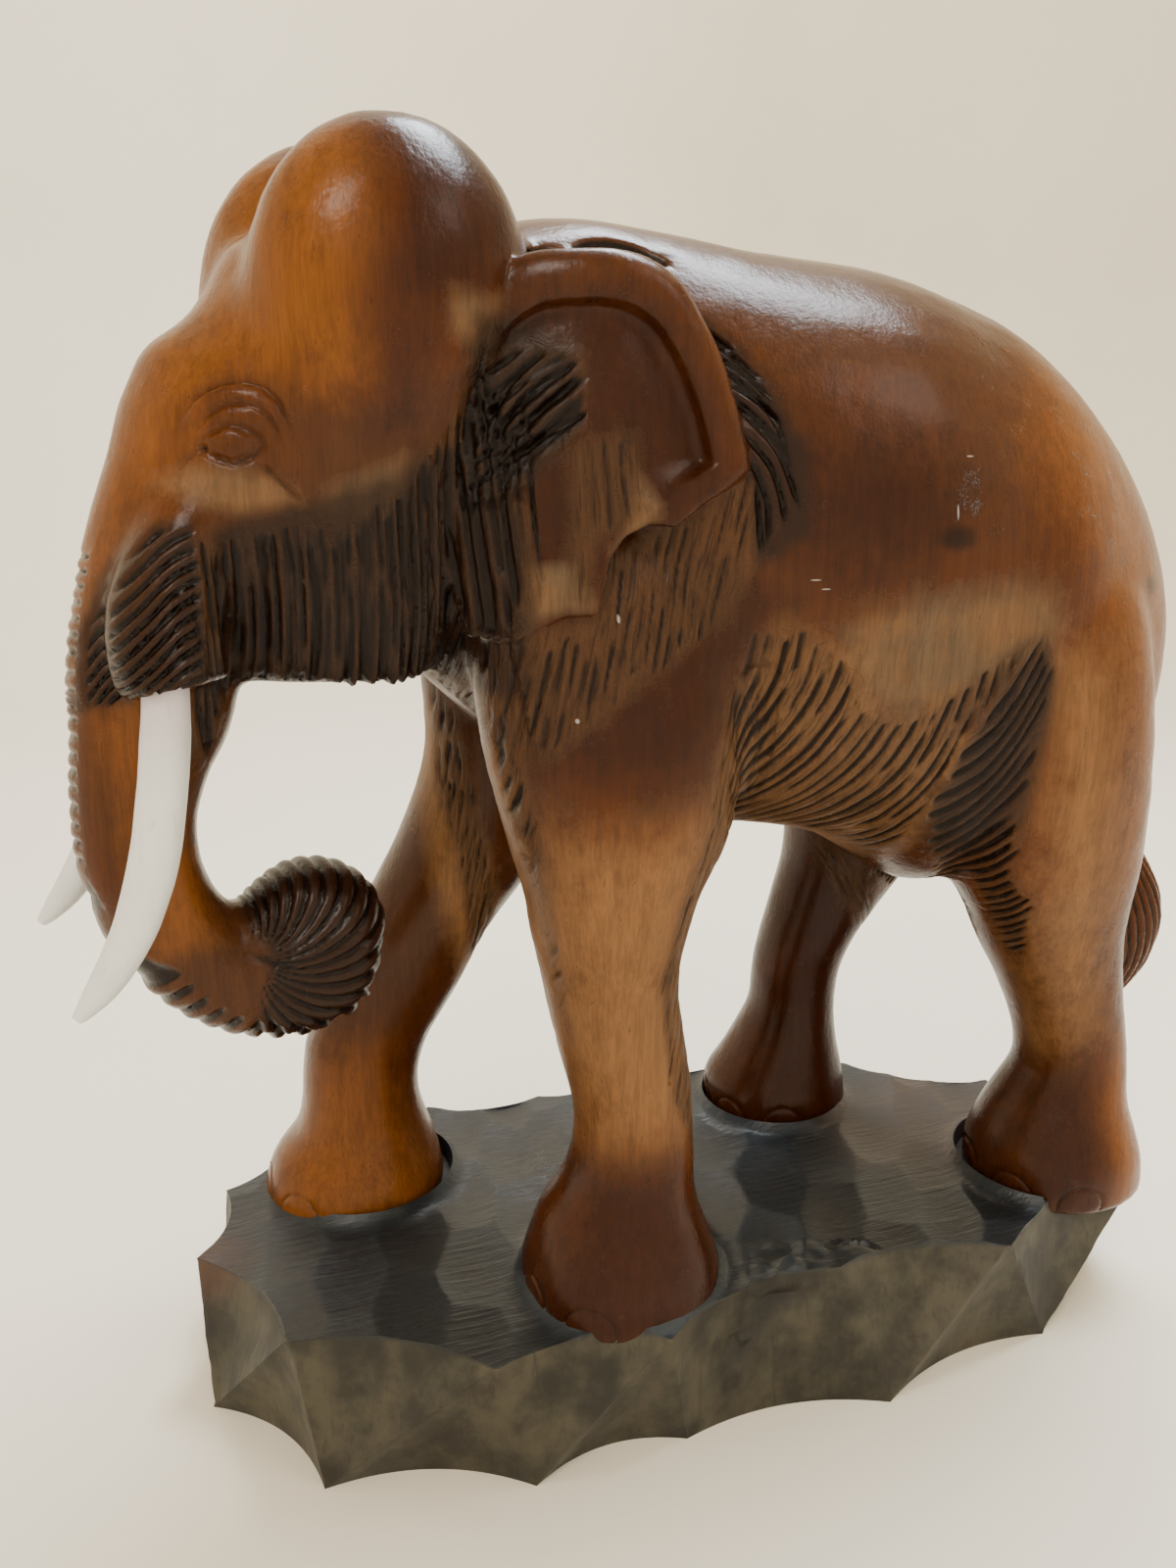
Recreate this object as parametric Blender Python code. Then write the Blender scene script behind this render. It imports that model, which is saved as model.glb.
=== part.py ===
import math

import bmesh
import bpy
import numpy as np

# A walking elephant and its rugged base, carved from one block of wood, with two tusks set in sockets.
# Metres, +Z up. The elephant faces -X and its left side faces -Y.
# The figure is drawn on a grid of parts, 342 to its height from soles to crown.

FIGURE_HEIGHT = 0.342
GRID_PARTS = 342.0
PART = FIGURE_HEIGHT / GRID_PARTS

BASE_HEIGHT = 0.046
BASE_SCOOP_DEPTH = 0.007
COLLAR_WIDTH = 0.0035
COLLAR_HEIGHT = 0.003

TUSK_DIAMETER = 0.0126
SOCKET_DEPTH = 0.012
SOCKET_GAP = 0.0003

HEAD_TURN = math.radians(10)

FORM_VOXEL = 0.0022
FINE_VOXEL = 0.0015
FIGURE_FACES = 7300
FINEST_PITCH = 3.0


def smooth_rows(rows, steps):
    """Rows of a table joined by a smooth curve that passes through each row."""
    rows = np.array(rows, dtype=float)
    padded = np.vstack([2 * rows[0] - rows[1], rows, 2 * rows[-1] - rows[-2]])
    result = []
    for index in range(len(rows) - 1):
        before, start, end, after = padded[index:index + 4]
        for step in range(steps):
            t = step / steps
            result.append(0.5 * (2 * start + (end - before) * t
                                 + (2 * before - 5 * start + 4 * end - after) * t ** 2
                                 + (3 * start - before - 3 * end + after) * t ** 3))
    result.append(rows[-1])
    return np.array(result)


def signed_power(values, power):
    return np.sign(values) * np.abs(values) ** power


def turned(x, y, angle):
    """Turns points about the neck's standing axis, which stands on the figure's middle plane."""
    axis = -60.0
    dx = x - axis
    return (axis + dx * math.cos(angle) - y * math.sin(angle),
            dx * math.sin(angle) + y * math.cos(angle))


class Carving:
    """Closed shells gathered in one mesh, which a voxel remesh then fuses."""

    def __init__(self):
        self.verts = []
        self.faces = []

    def loft(self, rings):
        first = len(self.verts)
        count = len(rings[0])
        for ring in rings:
            self.verts.extend(tuple(point) for point in ring)
        for level in range(len(rings) - 1):
            low = first + level * count
            for index in range(count):
                following = (index + 1) % count
                self.faces.append((low + index, low + following, low + count + following, low + count + index))
        self.faces.append(tuple(first + index for index in reversed(range(count))))
        last = first + (len(rings) - 1) * count
        self.faces.append(tuple(last + index for index in range(count)))

    def stack(self, rows, side=1, steps=4, count=32, power=0.9):
        """Level sections: height, centre x, centre y, half length, half width."""
        angles = np.linspace(0, 2 * math.pi, count, endpoint=False)
        rings = []
        for z, x, y, rx, ry in smooth_rows(rows, steps):
            rings.append(np.column_stack([x + rx * signed_power(np.cos(angles), power),
                                          side * y + ry * signed_power(np.sin(angles), power),
                                          np.full(count, z)]))
        self.loft(rings)

    def tube(self, rows, steps=5, count=24):
        """Sections square to a path: x, y, z, radius in the XZ plane, radius across it."""
        rows = smooth_rows(rows, steps)
        angles = np.linspace(0, 2 * math.pi, count, endpoint=False)
        rings = []
        for index, (x, y, z, rin, rout) in enumerate(rows):
            low, high = rows[max(index - 1, 0)], rows[min(index + 1, len(rows) - 1)]
            along = high[:3] - low[:3]
            along /= np.linalg.norm(along)
            across = np.cross(along, (0.0, 1.0, 0.0))
            across /= np.linalg.norm(across)
            side = np.cross(along, across)
            rings.append(np.array((x, y, z)) + np.outer(np.cos(angles) * rin, across)
                         + np.outer(np.sin(angles) * rout, side))
        self.loft(rings)

    def ball(self, centre, radii, tilt=0.0, count=20):
        """An ellipsoid, tilted about Y."""
        rings = []
        for level in range(1, count):
            polar = math.pi * level / count
            angles = np.linspace(0, 2 * math.pi, count, endpoint=False)
            x = radii[0] * math.sin(polar) * np.cos(angles)
            y = radii[1] * math.sin(polar) * np.sin(angles)
            z = np.full(count, -radii[2] * math.cos(polar))
            rings.append(np.column_stack([centre[0] + x * math.cos(tilt) + z * math.sin(tilt),
                                          centre[1] + y,
                                          centre[2] - x * math.sin(tilt) + z * math.cos(tilt)]))
        self.loft(rings)

    def turn_from(self, first, angle):
        for index in range(first, len(self.verts)):
            x, y, z = self.verts[index]
            self.verts[index] = (*turned(x, y, angle), z)

    def mesh(self, name):
        mesh = bpy.data.meshes.new(name)
        mesh.from_pydata([(x * PART, y * PART, z * PART + BASE_HEIGHT) for x, y, z in self.verts], [], self.faces)
        tidy = bmesh.new()
        tidy.from_mesh(mesh)
        bmesh.ops.recalc_face_normals(tidy, faces=tidy.faces)
        tidy.to_mesh(mesh)
        tidy.free()
        return mesh


# x, top, underside, half width
TORSO = [
    (-108, 262, 215, 24), (-95, 292, 200, 34), (-75, 316, 180, 44), (-50, 323, 158, 53), (-20, 321, 145, 61),
    (10, 317, 141, 67), (40, 315, 134, 69), (60, 312, 123, 68), (78, 307, 112, 66), (98, 300, 116, 63),
    (120, 286, 122, 57), (144, 264, 130, 47), (161, 237, 145, 36), (169, 206, 160, 21)]

# side, then height, centre x, centre y, half length, half width
LEGS = {
    "front_left": (-1, [
        (-6, -39, 36, 32, 32), (4, -39, 36, 32, 32), (12, -39, 36, 30, 30), (23, -39, 36, 26, 26),
        (33, -37, 36, 21.5, 22), (44, -35, 36, 19.5, 20), (58, -35, 36, 18.7, 19), (72, -37, 36, 19.4, 20),
        (86, -40, 36, 20, 21), (103, -43, 36, 20.5, 22), (119, -44, 37, 23, 24), (135, -43, 38, 27, 25),
        (155, -41, 39, 35, 27), (185, -43, 40, 40, 27), (220, -45, 38, 40, 24), (245, -47, 33, 34, 19),
        (270, -50, 27, 23, 13)]),
    "front_right": (1, [
        (-6, -112, 50, 33, 32), (4, -111, 50, 32, 31), (12, -110, 50, 29, 28), (21, -108, 50, 24, 24),
        (33, -108, 50, 21, 22), (45, -107, 50, 21, 21), (56, -104, 50, 22, 21), (74, -94, 49, 23, 22),
        (95, -85, 47, 25, 23), (115, -72, 45, 27, 24), (135, -60, 43, 29, 26), (160, -50, 41, 31, 27),
        (190, -44, 40, 38, 27), (220, -45, 38, 40, 24), (245, -47, 33, 34, 19), (270, -50, 27, 23, 13)]),
    "rear_left": (-1, [
        (-6, 139, 32, 31, 31), (4, 139, 32, 31, 31), (10, 138, 33, 30, 30), (18, 138, 33, 28, 27),
        (30, 139, 33, 22.7, 23), (42, 142, 33, 19.2, 20), (58, 139, 33, 19.4, 20), (75, 133, 33, 21.6, 21),
        (91, 127, 33, 25, 23), (107, 122, 34, 29, 25), (125, 117, 35, 35, 28), (148, 113, 36, 37.5, 30),
        (175, 110, 36, 37.5, 31), (205, 108, 34, 35.5, 29), (235, 103, 30, 30, 23), (258, 98, 24, 20, 15)]),
    "rear_right": (1, [
        (-6, 64, 49, 29, 28), (4, 64, 49, 29, 28), (10, 64, 49, 28, 27), (17, 66, 49, 25, 24),
        (28, 68, 49, 20.7, 21), (41, 70, 48, 17, 18), (55, 71, 48, 17, 18), (71, 75, 47, 18.3, 19),
        (91, 85, 46, 23.5, 21), (105, 91, 44, 27, 23), (125, 97, 42, 33, 26), (150, 105, 39, 37, 29),
        (178, 109, 37, 37, 30), (205, 108, 34, 35.5, 29), (235, 103, 30, 30, 23), (258, 98, 24, 20, 15)]),
}

# height, front, back, half width
HEAD = [
    (200, -150, -92, 33), (206, -155, -88, 38), (218, -160, -84, 43), (236, -169, -79, 46), (257, -173, -74, 48),
    (275, -168, -71, 50), (290, -153, -70, 50), (302, -144, -71, 47), (312, -140, -75, 41)]

# x, y, z, radius in the XZ plane, radius across it
TRUNK = [
    (-146, 0, 268, 18, 23), (-153, 0, 250, 22.5, 23), (-161, 0, 230, 22, 22), (-167, 0, 206, 22, 19),
    (-169, 0, 193, 21.5, 18), (-173, 0, 180, 18.5, 17), (-176, 0, 165, 16.5, 16.5), (-175.5, 0, 150, 16, 16),
    (-171, 0, 134, 16, 16), (-161, 0, 120, 16.5, 17), (-148, 0, 111, 17, 18), (-134, 0, 108, 17, 19),
    (-125, 0, 115, 17.5, 20), (-126, 0, 127, 17, 19), (-134, 0, 132, 13, 16), (-142, 0, 127, 9, 11)]
CURL_CENTRE = (-132.0, 118.0)

SHEATH = [
    (-146, 18, 254, 8, 8), (-156, 20, 241, 12.5, 12), (-165, 22, 225, 14.5, 14), (-168, 24.5, 211, 14.5, 14),
    (-167, 26, 202, 13.5, 13)]

TAIL = [
    (149, 0, 242, 10, 10), (162, 0, 218, 8, 9), (167, -2, 190, 7, 8), (158, -6, 160, 9, 8),
    (152, -12, 138, 10.5, 9), (155, -17, 118, 12, 9), (156, -20, 96, 11, 9), (154, -22, 74, 8, 8)]
TUFT = [
    (162, -16, 126, 5, 5), (168, -19, 111, 11, 10), (170, -21, 95, 16.5, 12.5), (168, -22, 80, 15.5, 12),
    (162, -22, 67, 11, 10), (155, -23, 56, 5, 6)]

# the ear's outline in side view, and how much of each point belongs to the rolled rim
EAR_EDGE = [
    (-80, 301, 1), (-71, 306, 1), (-60, 307, 1), (-50, 307, 1), (-41, 305, 1), (-33, 300, 1), (-27, 292, 1),
    (-22, 283, 1), (-18, 273, 1), (-15, 263, 1), (-13, 254, 1), (-19, 250, 0.6), (-27, 246, 0.2), (-36, 240, 0),
    (-43, 241, 0), (-50, 238, 0), (-54, 232, 0), (-56, 224, 0), (-58, 218, 0), (-65, 218, 0), (-71, 215, 0),
    (-77, 211, 0), (-88, 212, 0), (-92, 230, 0), (-93, 252, 0), (-92, 275, 0), (-88, 292, 0.5)]
EAR_MIDDLE = (-58.0, 262.0)
# share of the way out from the middle, lift at the rim, lift elsewhere
EAR_PROFILE = [
    (1.0, -2.5, -1.0), (0.965, -0.5, -0.1), (0.91, 0.8, 0.0), (0.84, 1.2, 0.0), (0.77, 0.6, 0.0), (0.73, -0.6, 0.0),
    (0.695, -4.6, -0.2), (0.6, -4.4, -0.6), (0.45, -3.0, -1.2), (0.25, -2.0, -1.4), (0.06, -1.6, -1.6)]

NAIL_ANGLES = (-54, -16, 16, 54)

# The hair cuts: whether they turn with the head, outline in side view, direction across the cuts in
# degrees, bend, spacing, depth and how far in the ends fade.
HAIR = {
    "sheath": (True, [(-158, 242), (-161, 205), (-176, 199), (-190, 197), (-184, 222), (-175, 236)],
               118, -0.012, 4.6, 1.3, 2.5),
    "cheek": (True, [(-158, 243), (-146, 239), (-129, 242), (-112, 254), (-98, 266), (-84, 262), (-82, 225),
                     (-88, 196), (-158, 196)], 3, 0.0, 2.5, 0.9, 5.0),
    "ear_front": (False, [(-84, 248), (-82, 270), (-57, 286), (-60, 268), (-76, 250)], 128, 0.0, 4.2, 0.8, 4.0),
    "behind_ear": (False, [(-24, 292), (-12, 292), (1, 284), (3, 250), (2, 232), (-9, 236), (-14, 262)],
                   62, 0.01, 4.4, 0.9, 4.0),
    "shoulder": (False, [(-82, 192), (-77, 213), (-58, 218), (-36, 240), (-13, 254), (-7, 243), (-20, 219),
                         (-48, 202), (-70, 186)], 168, 0.0, 2.5, 0.8, 4.0),
    "flank": (False, [(-18, 196), (-11, 210), (4, 209), (13, 202), (22, 195), (24, 186), (42, 184), (73, 205),
                      (60, 180), (52, 166), (49, 128), (-16, 150)], 153, -0.010, 3.4, 0.9, 3.5),
    "thigh": (False, [(52, 172), (79, 207), (87, 176), (80, 150), (90, 106), (78, 100), (55, 138)],
              146, -0.010, 4.6, 1.3, 3.0),
    "front_leg_front": (False, [(-84, 190), (-76, 190), (-62, 130), (-54, 66), (-66, 62), (-74, 120)],
                        172, 0.0, 2.6, 0.6, 2.5),
    "front_leg_rear": (False, [(-16, 190), (-8, 184), (-18, 110), (-16, 64), (-30, 84), (-36, 116)],
                       166, 0.0, 2.6, 0.6, 2.5),
}


def head(carving):
    first = len(carving.verts)
    angles = np.linspace(0, 2 * math.pi, 36, endpoint=False)
    taper = 1 - 0.42 * ((1 - np.cos(angles)) / 2) ** 1.5
    rings = []
    for z, front, back, width in smooth_rows(HEAD, 4):
        rings.append(np.column_stack([(front + back) / 2 + (back - front) / 2 * signed_power(np.cos(angles), 0.85),
                                      width * signed_power(np.sin(angles), 0.85) * taper,
                                      np.full(36, z)]))
    carving.loft(rings)
    for side in (-1, 1):
        carving.ball((-106, side * 25, 297), (37, 27.5, 42 if side < 0 else 45), 0.12)
        carving.tube([(x, side * y, z, rin, rout) for x, y, z, rin, rout in SHEATH])
    carving.ball((-151, 0, 273), (16, 22, 17))
    carving.tube(TRUNK)
    carving.ball((CURL_CENTRE[0], 0, CURL_CENTRE[1]), (24, 20, 26))
    carving.turn_from(first, HEAD_TURN)


def torso(carving):
    angles = np.linspace(0, 2 * math.pi, 40, endpoint=False)
    rings = []
    for x, top, low, width in smooth_rows(TORSO, 4):
        rings.append(np.column_stack([np.full(40, x), width * signed_power(np.cos(angles), 0.9),
                                      (top + low) / 2 + (top - low) / 2 * signed_power(np.sin(angles), 0.9)]))
    carving.loft(rings)


def legs(carving):
    """The legs, each with a collar of the base's wood round its foot."""
    width, height = COLLAR_WIDTH / PART, COLLAR_HEIGHT / PART
    for side, rows in LEGS.values():
        carving.stack(rows, side, count=28)
        x, y, rx, ry = rows[1][1:]
        x, y = 0.97 * x, 0.96 * y
        carving.stack([(-2, x, y, rx + width, ry + width), (-0.5, x, y, rx + width * 0.9, ry + width * 0.9),
                       (height * 0.6, x, y, rx + width * 0.45, ry + width * 0.45),
                       (height, x, y, rx + width * 0.2, ry + width * 0.2)], side, count=28)


def ears(carving):
    edge = np.array([point[:2] for point in EAR_EDGE], dtype=float)
    rim = np.array([point[2] for point in EAR_EDGE], dtype=float)
    middle = np.array(EAR_MIDDLE)
    for side in (-1, 1):
        rings = []
        for share, depth in ((0.82, 26.0), (0.93, 38.0)):
            points = middle + (edge - middle) * share
            rings.append(np.column_stack([points[:, 0], np.full(len(points), side * depth), points[:, 1]]))
        for share, rim_lift, other_lift in EAR_PROFILE:
            points = middle + (edge - middle) * share
            face = 60 + 0.08 * (300 - points[:, 1]) - 0.0105 * np.minimum(points[:, 0] + 46, 0) ** 2
            lift = rim * rim_lift + (1 - rim) * other_lift
            rings.append(np.column_stack([points[:, 0], side * (face + lift), points[:, 1]]))
        carving.loft(rings)


def joined(name, meshes):
    mesh = bmesh.new()
    for source in meshes:
        mesh.from_mesh(source)
    result = bpy.data.meshes.new(name)
    mesh.to_mesh(result)
    mesh.free()
    return result


def placed(name, mesh):
    obj = bpy.data.objects.new(name, mesh)
    bpy.context.collection.objects.link(obj)
    return obj


def baked(obj):
    """Works the object's modifiers into its mesh."""
    bpy.context.view_layer.update()
    graph = bpy.context.evaluated_depsgraph_get()
    mesh = bpy.data.meshes.new_from_object(obj.evaluated_get(graph))
    obj.modifiers.clear()
    obj.data = mesh


def fused(obj, voxel, smoothing):
    remesh = obj.modifiers.new("fuse", "REMESH")
    remesh.mode = "VOXEL"
    remesh.voxel_size = voxel
    smooth = obj.modifiers.new("blend", "SMOOTH")
    smooth.factor = 0.5
    smooth.iterations = smoothing
    baked(obj)


def blended_head(obj, iterations):
    """Runs the domes, brow and sheaths of the head together."""
    group = obj.vertex_groups.new(name="crown")
    coords = points_of(obj.data)
    x, y = turned(coords[:, 0], coords[:, 1], -HEAD_TURN)
    z = coords[:, 2]
    weight = np.clip((z - 232) / 25, 0, 1) * np.clip((-62 - x) / 12, 0, 1)
    low_dome = np.clip((338 - z) / 26, 0.25, 1)
    for index in np.nonzero(weight > 0.01)[0]:
        group.add([int(index)], float(weight[index] * low_dome[index]), "REPLACE")
    smooth = obj.modifiers.new("blend", "SMOOTH")
    smooth.factor = 0.5
    smooth.iterations = iterations
    smooth.vertex_group = "crown"
    baked(obj)
    obj.vertex_groups.clear()


def points_of(mesh):
    """The vertices in parts, with heights from the soles."""
    coords = np.empty(len(mesh.vertices) * 3)
    mesh.vertices.foreach_get("co", coords)
    coords = coords.reshape(-1, 3) / PART
    coords[:, 2] -= BASE_HEIGHT / PART
    return coords


def normals_of(mesh):
    normals = np.empty(len(mesh.vertices) * 3)
    mesh.vertex_normals.foreach_get("vector", normals)
    return normals.reshape(-1, 3)


def depth_inside(x, z, outline):
    """Distance from the outline, zero outside it."""
    inside = np.zeros(len(x), dtype=bool)
    nearest = np.full(len(x), 1e9)
    for index, (x1, z1) in enumerate(outline):
        x0, z0 = outline[index - 1]
        dx, dz = x1 - x0, z1 - z0
        t = np.clip(((x - x0) * dx + (z - z0) * dz) / (dx * dx + dz * dz), 0, 1)
        nearest = np.minimum(nearest, np.hypot(x - x0 - t * dx, z - z0 - t * dz))
        if z1 != z0:
            inside ^= ((z0 > z) != (z1 > z)) & (x < dx * (z - z0) / dz + x0)
    return np.where(inside, nearest, 0.0)


def scattered(number):
    """A repeatable value from 0 to 1 for each whole number."""
    value = np.sin(number * 12.9898 + 4.1414) * 43758.5453
    return value - np.floor(value)


def groove(phase, sharpness=0.22):
    return np.exp(-((phase - np.floor(phase) - 0.5) / sharpness) ** 2)


def hair_cut(x, z, outline, direction, bend, spacing, depth, fade, seed):
    x0, z0 = np.mean(outline, axis=0)
    angle = math.radians(direction)
    across = (x - x0) * math.cos(angle) + (z - z0) * math.sin(angle)
    along = -(x - x0) * math.sin(angle) + (z - z0) * math.cos(angle)
    phase = (across + bend * along ** 2) / spacing + 0.12 * np.sin(along * 0.35 + across * 0.5)
    number = np.floor(phase) + seed
    reach = depth_inside(x, z, outline) - 3.0 * scattered(number)
    return depth * (0.65 + 0.35 * scattered(number + 50)) * groove(phase) * np.clip(reach / fade, 0, 1)


def arc_cut(x, z, centre, radius, first, last, width, depth):
    angle = np.degrees(np.arctan2(z - centre[1], x - centre[0])) % 360
    within = np.clip(np.minimum(angle - first, last - angle) / 12, 0, 1)
    away = np.hypot(x - centre[0], z - centre[1]) - radius
    return depth * within * np.exp(-(away / width) ** 2)


def line_cut(x, z, start, end, width, depth):
    dx, dz = end[0] - start[0], end[1] - start[1]
    t = np.clip(((x - start[0]) * dx + (z - start[1]) * dz) / (dx * dx + dz * dz), 0, 1)
    away = np.hypot(x - start[0] - t * dx, z - start[1] - t * dz)
    return depth * np.exp(-(away / width) ** 2)


def eye_cut(x, z):
    centre = (-150.0, 262.0)
    away = np.hypot(x - centre[0], z - centre[1])
    cut = arc_cut(x, z, (-149, 262), 13.0, 4, 145, 1.1, 1.6) + arc_cut(x, z, (-149, 262), 9.5, 2, 150, 1.1, 1.5)
    cut += line_cut(x, z, (-162, 256), (-155, 261), 1.1, 1.3) + line_cut(x, z, (-145, 257), (-135, 247), 1.2, 1.5)
    cut += 1.3 * np.exp(-((away - 5.2) / 1.1) ** 2) - 1.3 * np.exp(-(away / 4.0) ** 4)
    return cut


def trunk_cut(x, y, z):
    """Teeth down the front of the trunk and round the underside of its curl."""
    path = smooth_rows([(row[0], row[2]) for row in TRUNK[2:13]], 6)
    nearest = np.full(len(x), 1e9)
    travelled = np.zeros(len(x))
    outward = np.zeros(len(x))
    length = 0.0
    for (x0, z0), (x1, z1) in zip(path[:-1], path[1:]):
        dx, dz = x1 - x0, z1 - z0
        size = math.hypot(dx, dz)
        t = np.clip(((x - x0) * dx + (z - z0) * dz) / size ** 2, 0, 1)
        away = np.hypot(x - x0 - t * dx, z - z0 - t * dz)
        side = ((x - x0) * dz - (z - z0) * dx) / size
        closer = away < nearest
        nearest = np.where(closer, away, nearest)
        travelled = np.where(closer, length + t * size, travelled)
        outward = np.where(closer, side, outward)
        length += size
    lower = np.clip((travelled - 70) / 30, 0, 1)
    band = np.clip((7.5 + 4 * lower - np.abs(y)) / 2, 0, 1) * (outward > 6) * (nearest < 30)
    return band * (1.1 + 0.5 * lower) * groove(travelled / (3.9 + 0.5 * lower), 0.26) * (z < 240)


def curl_cut(x, y, z):
    dx, dz = x - CURL_CENTRE[0], z - CURL_CENTRE[1]
    away = np.hypot(dx, dz)
    angle = np.degrees(np.arctan2(dz, dx))
    phase = (angle + 1.4 * away) / 12.0
    within = np.clip((30 - away) / 2, 0, 1) * np.clip((away - 3) / 4, 0, 1) * (x > -158)
    return 1.1 * within * groove(phase, 0.24)


def tuft_cut(x, y, z):
    path = smooth_rows([row[:3] for row in TUFT], 4)
    centre_x = np.interp(z, path[::-1, 2], path[::-1, 0])
    centre_y = np.interp(z, path[::-1, 2], path[::-1, 1])
    angle = np.degrees(np.arctan2(y - centre_y, x - centre_x))
    within = np.clip((122 - z) / 6, 0, 1) * np.clip((z - 56) / 6, 0, 1) * (x > 156)
    return 1.0 * within * groove((angle + 1.2 * (z - 90)) / 20.0, 0.24)


def nails_cut(x, y, z):
    cut = np.zeros(len(x))
    for side, rows in LEGS.values():
        foot_x, foot_y, rx, ry = rows[1][1:]
        dx, dy = (x - foot_x) / rx, (y - side * foot_y) / ry
        angle = np.degrees(np.arctan2(-dy, -dx))
        close = (np.hypot(dx, dy) > 0.6) & (np.hypot(dx, dy) < 1.15) & (z > 0.5) & (z < 22)
        for nail in NAIL_ANGLES:
            around = np.radians((angle - nail + 180) % 360 - 180) * rx
            away = np.hypot(around, (z - 4.5) * 0.95)
            cut += close * (1.2 * np.exp(-((away - 9.5) / 1.2) ** 2) - 0.8 * np.clip((9 - away) / 4, 0, 1))
    return cut


def carve(mesh, finest):
    """Cuts the hair, eyes, nails and trunk teeth into the surface."""
    coords = points_of(mesh)
    normals = normals_of(mesh)
    x, y, z = coords.T
    head_x, head_y = turned(x, y, -HEAD_TURN)
    sideways = np.clip((np.abs(normals[:, 1]) - 0.15) / 0.25, 0, 1)
    cut = nails_cut(x, y, z) + tuft_cut(x, y, z)
    in_head = (head_x < -72) & (z > 80)
    parts = np.nonzero(in_head)[0]
    cut[parts] += trunk_cut(head_x[parts], head_y[parts], z[parts]) + curl_cut(head_x[parts], head_y[parts], z[parts])
    cut[parts] += eye_cut(head_x[parts], z[parts]) * sideways[parts] * (np.abs(head_y[parts]) > 20)
    for index, (turns, outline, direction, bend, spacing, depth, fade) in enumerate(HAIR.values()):
        if spacing < finest:
            continue
        across = head_x if turns else x
        outline = np.array(outline, dtype=float)
        low, high = outline.min(axis=0), outline.max(axis=0)
        near = np.nonzero((across > low[0]) & (across < high[0]) & (z > low[1]) & (z < high[1])
                          & (np.abs(head_y if turns else y) > (14 if turns else 30)))[0]
        side = y[near] > 0
        cut[near] += sideways[near] * hair_cut(across[near], z[near], outline, direction, bend, spacing, depth,
                                               fade, 20 * index + 7 * side)
    coords -= normals * cut[:, None]
    coords[:, 2] += BASE_HEIGHT / PART
    mesh.vertices.foreach_set("co", (coords * PART).ravel())
    mesh.update()


# the base's corners at its top edge and its cusps on the floor, in turn round it
BASE_TOP = [
    (-170, 17), (-146, -33), (-89, -66), (-36, -72), (30, -60), (91, -70), (165, -51), (172, -8), (155, 26),
    (105, 61), (68, 83), (15, 81), (-30, 80), (-76, 86), (-126, 88), (-158, 54)]
BASE_FLOOR = [
    (-169, 0), (-139, -46), (-78, -67), (-27, -66), (43, -75), (113, -66), (148, -34), (160, 8), (128, 42),
    (84, 67), (47, 73), (-12, 73), (-50, 77), (-106, 81), (-138, 67), (-164, 34)]


def gouged(mesh, first, second, apex, steps):
    """A triangle hollowed like a gouge cut that runs out at its apex."""
    first, second, apex = (np.array(point, dtype=float) for point in (first, second, apex))
    normal = np.cross(second - first, apex - first)
    normal /= np.linalg.norm(normal)
    if np.dot(normal[:2], (first + second + apex)[:2]) < 0:
        normal = -normal
    depth = min(BASE_SCOOP_DEPTH, 0.14 * np.linalg.norm(second - first))
    verts = {}
    for row in range(steps + 1):
        c = row / steps
        for column in range(steps - row + 1):
            b = column / steps
            a = 1 - b - c
            hollow = depth * 4 * a * b / (1 - c) if row < steps else 0.0
            point = a * first + b * second + c * apex - normal * hollow
            if row == 0:
                point[2] = first[2]
            verts[row, column] = mesh.verts.new(point)
    for row in range(steps):
        for column in range(steps - row):
            mesh.faces.new((verts[row, column], verts[row, column + 1], verts[row + 1, column]))
            if column < steps - row - 1:
                mesh.faces.new((verts[row, column + 1], verts[row + 1, column + 1], verts[row + 1, column]))


def base(steps=6):
    """Gouged triangles, point down from the top edge and point up from the floor by turns."""
    mesh = bmesh.new()
    top = [(x * PART, y * PART, BASE_HEIGHT) for x, y in BASE_TOP]
    floor = [(x * PART, y * PART, 0.0) for x, y in BASE_FLOOR]
    for index in range(len(top)):
        following = (index + 1) % len(top)
        gouged(mesh, top[index], top[following], floor[index], steps)
        gouged(mesh, floor[index], floor[following], top[following], steps)
    bmesh.ops.remove_doubles(mesh, verts=mesh.verts, dist=1e-6)
    bmesh.ops.holes_fill(mesh, edges=[edge for edge in mesh.edges if edge.is_boundary], sides=0)
    bmesh.ops.triangulate(mesh, faces=[face for face in mesh.faces if len(face.verts) > 4])
    bmesh.ops.recalc_face_normals(mesh, faces=mesh.faces)
    result = bpy.data.meshes.new("base")
    mesh.to_mesh(result)
    mesh.free()
    return result


def combined(obj, other, operation):
    """Adds or cuts away another object, which is then removed."""
    boolean = obj.modifiers.new("combine", "BOOLEAN")
    boolean.operation = operation
    boolean.solver = "EXACT"
    boolean.object = other
    baked(obj)
    bpy.data.objects.remove(other, do_unlink=True)


# x, y, z, share of the tusk's diameter
TUSK = [
    (-170, 28, 202, 0.95), (-171.5, 29.5, 190, 1.0), (-174, 31.5, 176, 1.0), (-178, 33.5, 159, 1.0),
    (-185, 35.5, 143, 0.87), (-193, 36.5, 132, 0.66), (-199.5, 37, 125.5, 0.25)]


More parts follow.
